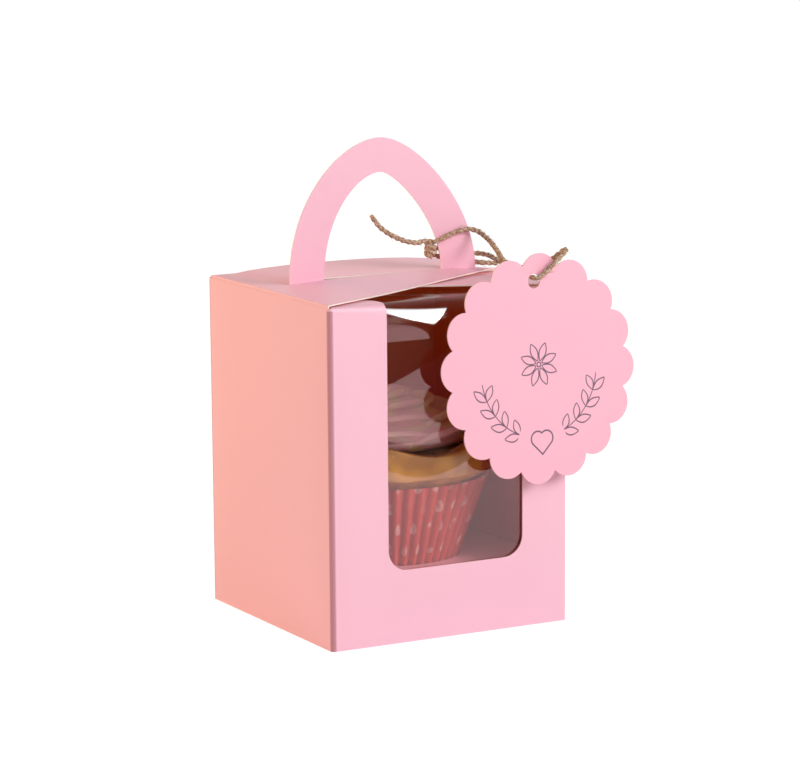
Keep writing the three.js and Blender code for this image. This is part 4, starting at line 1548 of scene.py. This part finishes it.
        obj = Bench.grid("caramel_swirl", 240, 14, place)
        with Bench.editing(obj):
            bpy.ops.mesh.select_all(action="SELECT")
            bpy.ops.mesh.remove_doubles(threshold=0.002)
            bpy.ops.mesh.normals_make_consistent(inside=False)
        Bench.apply(obj, "SOLIDIFY", thickness=1.1, offset=-1)
        Bench.apply(obj, "SUBSURF", levels=1, render_levels=1)
        Bench.dress(obj, [self.finishes.caramel])
        piece = Bench.finish(obj, Body.CARTON, Slot.CARAMEL, 80)
        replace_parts(piece, "caramel_trim")

    def build(self) -> None:
        """Makes the whole cupcake."""
        self.case()
        self.cake()
        self.frosting()
        self.caramel()


@dataclass
class TagAndTwine:
    """The gift tag and the jute twine that ties it to the handle's right leg."""

    finishes: Finishes
    carton: Carton
    radius: float = 0.92
    plies: int = 2
    twist: float = 1.35
    step: float = 0.6
    pitch: float = -4.5
    yaw: float = 3.0
    hole: Vector = Vector((30.18, -45.78, 115.01))
    leg: Vector = Vector((28.0, 0.0, 112.0))
    fibres: int = 260
    exit_step: Vector = Vector((6, 0, 4))

    def route(self) -> list[Vector]:
        """Returns the twine's points, from its long loose end to its short one."""
        leg, hole = self.leg, self.hole
        tail = [(-33.6, -1.4, 22.2), (-30.8, -1.5, 18.6), (-26.6, -1.5, 15.5)]
        tail += [(-21.4, -1.5, 13.1), (-16.8, -1.4, 12.1), (-13.3, -0.9, 12.4), (-10.4, -0.6, 11.6)]
        front = [(-7.4, -1.9, 12.8), (-4.2, -1.8, 14.1), (0.2, -1.7, 15.2), (3.6, -1.9, 15.4)]
        front += [(5.7, -3.6, 14.7), (6.4, -7, 13.4), (5.9, -12, 11.9), (3.7, -20, 10), (-0.1, -30, 8.5)]
        through = [(-2.6, 7, 3.4), (-0.9, 3.2, 1.8), (0.2, 0, 1.05), (1.1, -1.7, 1.3), (3.4, -2, 2.9)]
        through += [(6.9, -1.9, 5.7), (9.9, -1.6, 8.1), (11.9, -0.6, 9.4), (12.4, 1.4, 9.2), (11.7, 3.6, 7.7)]
        back = [(11.4, -37, 7), (10.4, -28, 5), (10.4, -19, 3.9), (10.2, -11, 4.9), (9.7, -5, 6.3)]
        back += [(8.6, -1.4, 6.7), (6.7, 1.5, 6.8), (3.6, 2, 7.3)]
        back += [(-1.4, 2, 8), (-5.4, 2, 8.8), (-7.2, 2.1, 9.3)]
        short = [(-9.6, 2.2, 9), (-9.4, 3, 7.7), (-7.6, 3.6, 7), (-4, 4.2, 5.8), (1, 4, 4.8)]
        short += [(5, 3.2, 4.1), (9, 1.7, 3.4), (12.4, 0.7, 3.1), (15.4, 0.1, 2.9)]
        from_leg = [leg + Vector(p) for p in tail + front]
        middle = [hole + Vector(p) for p in through]
        return from_leg + middle + [leg + Vector(p) for p in back + short]

    def smooth(self, points: Sequence[Vector]) -> list[Vector]:
        """Returns points a small step apart on one smooth curve through the given ones."""
        fine: list[Vector] = []
        for i in range(len(points) - 1):
            before = points[max(i - 1, 0)]
            start, end = points[i], points[i + 1]
            after = points[min(i + 2, len(points) - 1)]
            count = max(2, round((end - start).length / self.step))
            for k in range(count):
                t = k / count
                bend = start * 2 + (end - before) * t
                bend += (before * 2 - start * 5 + end * 4 - after) * t * t
                bend += (start * 3 - before - end * 3 + after) * t**3
                fine.append(bend / 2)
        return fine + [points[-1].copy()]

    def section(self) -> list[Point]:
        """Returns the lobed section of plied twine."""
        points = []
        for i in range(21):
            angle = 2 * math.pi * i / 21
            radius = self.radius * (0.87 + 0.14 * math.cos(self.plies * angle))
            points.append((radius * math.cos(angle), radius * math.sin(angle)))
        return points

    def knot(self) -> bpy.types.Object:
        """Ties the knot: two turns round the strands and one across them."""
        low, high = box_mm("twine_knot")
        centre = (low + high) / 2
        turns = []
        for i in range(150):
            t = i / 149
            angle = 2 * math.pi * 2.6 * t + 0.6
            reach = 1.35 + 0.25 * math.sin(5 * math.pi * t)
            rise = lerp(1.9, -2.1, t) + 0.5 * math.sin(angle)
            turns.append(centre + Vector((reach * math.cos(angle), reach * math.sin(angle), rise)))
        obj = Bench.swept("twine_tie", turns, self.section(), self.twist)
        Bench.dress(obj, [self.finishes.jute])
        piece = Bench.finish(obj, Body.FLAP, Slot.JUTE, 80)
        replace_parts(piece, "twine_knot")
        return piece

    def loose_fibres(self, line: Sequence[Vector]) -> bpy.types.Object:
        """Combs short loose fibres out of the twine."""
        dice = random.Random(SEED)
        curve = bpy.data.curves.new("twine_fibres", "CURVE")
        curve.dimensions = "3D"
        curve.bevel_depth = 0.045
        curve.bevel_resolution = 0
        for _ in range(self.fibres):
            i = dice.randrange(2, len(line) - 3)
            along = (line[i + 1] - line[i]).normalized()
            side = along.cross(Vector([dice.gauss(0, 1) for _ in range(3)])).normalized()
            length = dice.uniform(1.2, 3.2)
            spline = curve.splines.new("POLY")
            spline.points.add(3)
            for k, point in enumerate(spline.points):
                t = k / 3
                lift = self.radius * 0.75 + t * t * length * dice.uniform(0.2, 0.5)
                place = line[i] + along * length * t + side * lift
                point.co = (*place, 1)
        obj = bpy.data.objects.new("twine_fibres", curve)
        bpy.context.collection.objects.link(obj)
        Bench.hold(obj)
        bpy.ops.object.convert(target="MESH")
        made = bpy.context.object
        Bench.dress(made, [self.finishes.jute])
        return Bench.finish(made, Body.FLAP, Slot.JUTE)

    def build(self) -> None:
        """Makes the twine and its knot, and dresses the tag."""
        line = self.smooth(self.route())
        obj = Bench.swept("twine_cord", line, self.section(), self.twist)
        Bench.dress(obj, [self.finishes.jute])
        twine = Bench.finish(obj, Body.FLAP, Slot.JUTE, 80)
        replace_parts(twine, "twine_loop", "twine_long_tail", "twine_short_tail")
        knot = self.knot()
        fibres = self.loose_fibres(line)
        low, high = box_mm("gift_tag")
        turn = (math.radians(self.pitch), 0.0, math.radians(self.yaw))
        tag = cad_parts["gift_tag"]
        Bench.dress(tag, [TagFinish((low + high) / 2, turn).make()])
        length = sum((b - a).length for a, b in zip(line, line[1:])) * MM
        [tuple(p * MM) for p in line]


@dataclass(frozen=True)
class Lamp:
    """One soft, square lamp."""

    name: str
    place: tuple[float, float, float]
    size: float
    power: float
    colour: Colour = (1.0, 1.0, 1.0)

    def hang(self, aim: Vector) -> None:
        """Hangs the lamp at its place, in metres.

        Args:
            aim: The point that it faces.
        """
        data = bpy.data.lights.new(self.name, "AREA")
        data.size = self.size
        data.energy = self.power
        data.color = self.colour
        lamp = bpy.data.objects.new(self.name, data)
        place = Vector(self.place)
        facing = (aim - place).to_track_quat("-Z", "Y").to_matrix().to_4x4()
        lamp.matrix_world = Matrix.Translation(place) @ facing
        bpy.context.collection.objects.link(lamp)


@dataclass
class Studio:
    """The pale floor, the soft lamps and the camera."""

    camera_place: Vector = Vector((-0.5216, -0.9645, 0.2629))
    azimuth: float = -28.405
    elevation: float = 10.685
    roll: float = -0.486
    lens: float = 149.6
    shift: Point = (0.0173, 0.0734)
    ambient: float = 0.23
    floor_colour: Colour = (0.9, 0.9, 0.9)
    floor_glow: float = 1.26
    floor_share: float = 0.75
    lamp_aim: Vector = Vector((0, 0, 0.08))
    lamps: tuple[Lamp, ...] = (
        Lamp("key_lamp", (0.6, -1.05, 0.68), 0.6, 10.3),
        Lamp("fill_lamp", (-0.15, -1.1, 0.75), 0.6, 2.0),
        Lamp("warm_side_lamp", (-0.85, 0.6, 0.4), 0.5, 5.56, (1.0, 0.605, 0.21)),
        Lamp("rear_lamp", (-0.6, 1.1, 0.6), 0.6, 3.5, (1.0, 0.55, 0.35)),
    )

    def camera(self) -> None:
        """Sets the camera where the photograph was taken from."""
        data = bpy.data.cameras.new("camera")
        data.lens = self.lens
        data.shift_x, data.shift_y = self.shift
        data.clip_start = 0.05
        camera = bpy.data.objects.new("camera", data)
        a, e = math.radians(self.azimuth), math.radians(self.elevation)
        back = Vector((math.sin(a) * math.cos(e), -math.cos(a) * math.cos(e), math.sin(e)))
        right = (-back).cross(Vector((0, 0, 1))).normalized()
        up = right.cross(-back)
        roll = math.radians(self.roll)
        across = right * math.cos(roll) + up * math.sin(roll)
        upward = up * math.cos(roll) - right * math.sin(roll)
        turn = Matrix((across, upward, back)).transposed()
        camera.matrix_world = Matrix.Translation(self.camera_place) @ turn.to_4x4()
        bpy.context.collection.objects.link(camera)
        bpy.context.scene.camera = camera

    @staticmethod
    def _seen_directly(graph: Graph) -> Wire:
        """Returns 1 for rays that show the background itself or its mirror image."""
        kinds = ("Is Camera Ray", "Is Glossy Ray", "Is Transmission Ray")
        seen = [graph.node("ShaderNodeLightPath", output=kind) for kind in kinds]
        return seen[0].either(seen[1]).either(seen[2])

    def surroundings(self) -> None:
        """Makes the pale world and the floor."""
        world = bpy.data.worlds.new("studio")
        bpy.context.scene.world = world
        graph = Graph(world)
        strength = self._seen_directly(graph) * (1 - self.ambient) + self.ambient
        graph.show(graph.node("ShaderNodeBackground", None, {"Color": (1, 1, 1, 1), "Strength": strength}))
        bpy.ops.object.select_all(action="DESELECT")
        bpy.ops.mesh.primitive_plane_add(size=8, location=(0, 0, -0.0002))
        floor = bpy.context.object
        floor.name = floor.data.name = "floor"
        bpy.ops.object.transform_apply(location=True, rotation=False, scale=False)
        made, graph = material("floor")
        plain = graph.principled(Base_Color=self.floor_colour, Roughness=0.7)
        glow = graph.node("ShaderNodeEmission", None, {"Color": (1, 1, 1, 1), "Strength": self.floor_glow})
        share = self._seen_directly(graph) * self.floor_share
        graph.show(graph.node("ShaderNodeMixShader", None, {0: share, 1: plain, 2: glow}))
        floor.data.materials.append(made)

    def build(self) -> None:
        """Sets up the studio."""
        bpy.context.scene.view_settings.view_transform = "Standard"
        self.camera()
        self.surroundings()
        for lamp in self.lamps:
            lamp.hang(self.lamp_aim)


def main() -> None:
    """Builds the studio and every piece, in order."""
    logging.basicConfig(level=logging.INFO, format="%(name)s: %(message)s")
    Studio().build()
    finishes = Finishes()
    carton = Carton(finishes)
    TagAndTwine(finishes, carton).build()
    carton.build()
    HandleFlap(finishes, carton).build()
    Window(finishes).build()
    Bench.dress(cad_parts["insert_tray"], [finishes.printed])
    Cupcake(finishes).build()


if __name__ == "__main__":
    main()
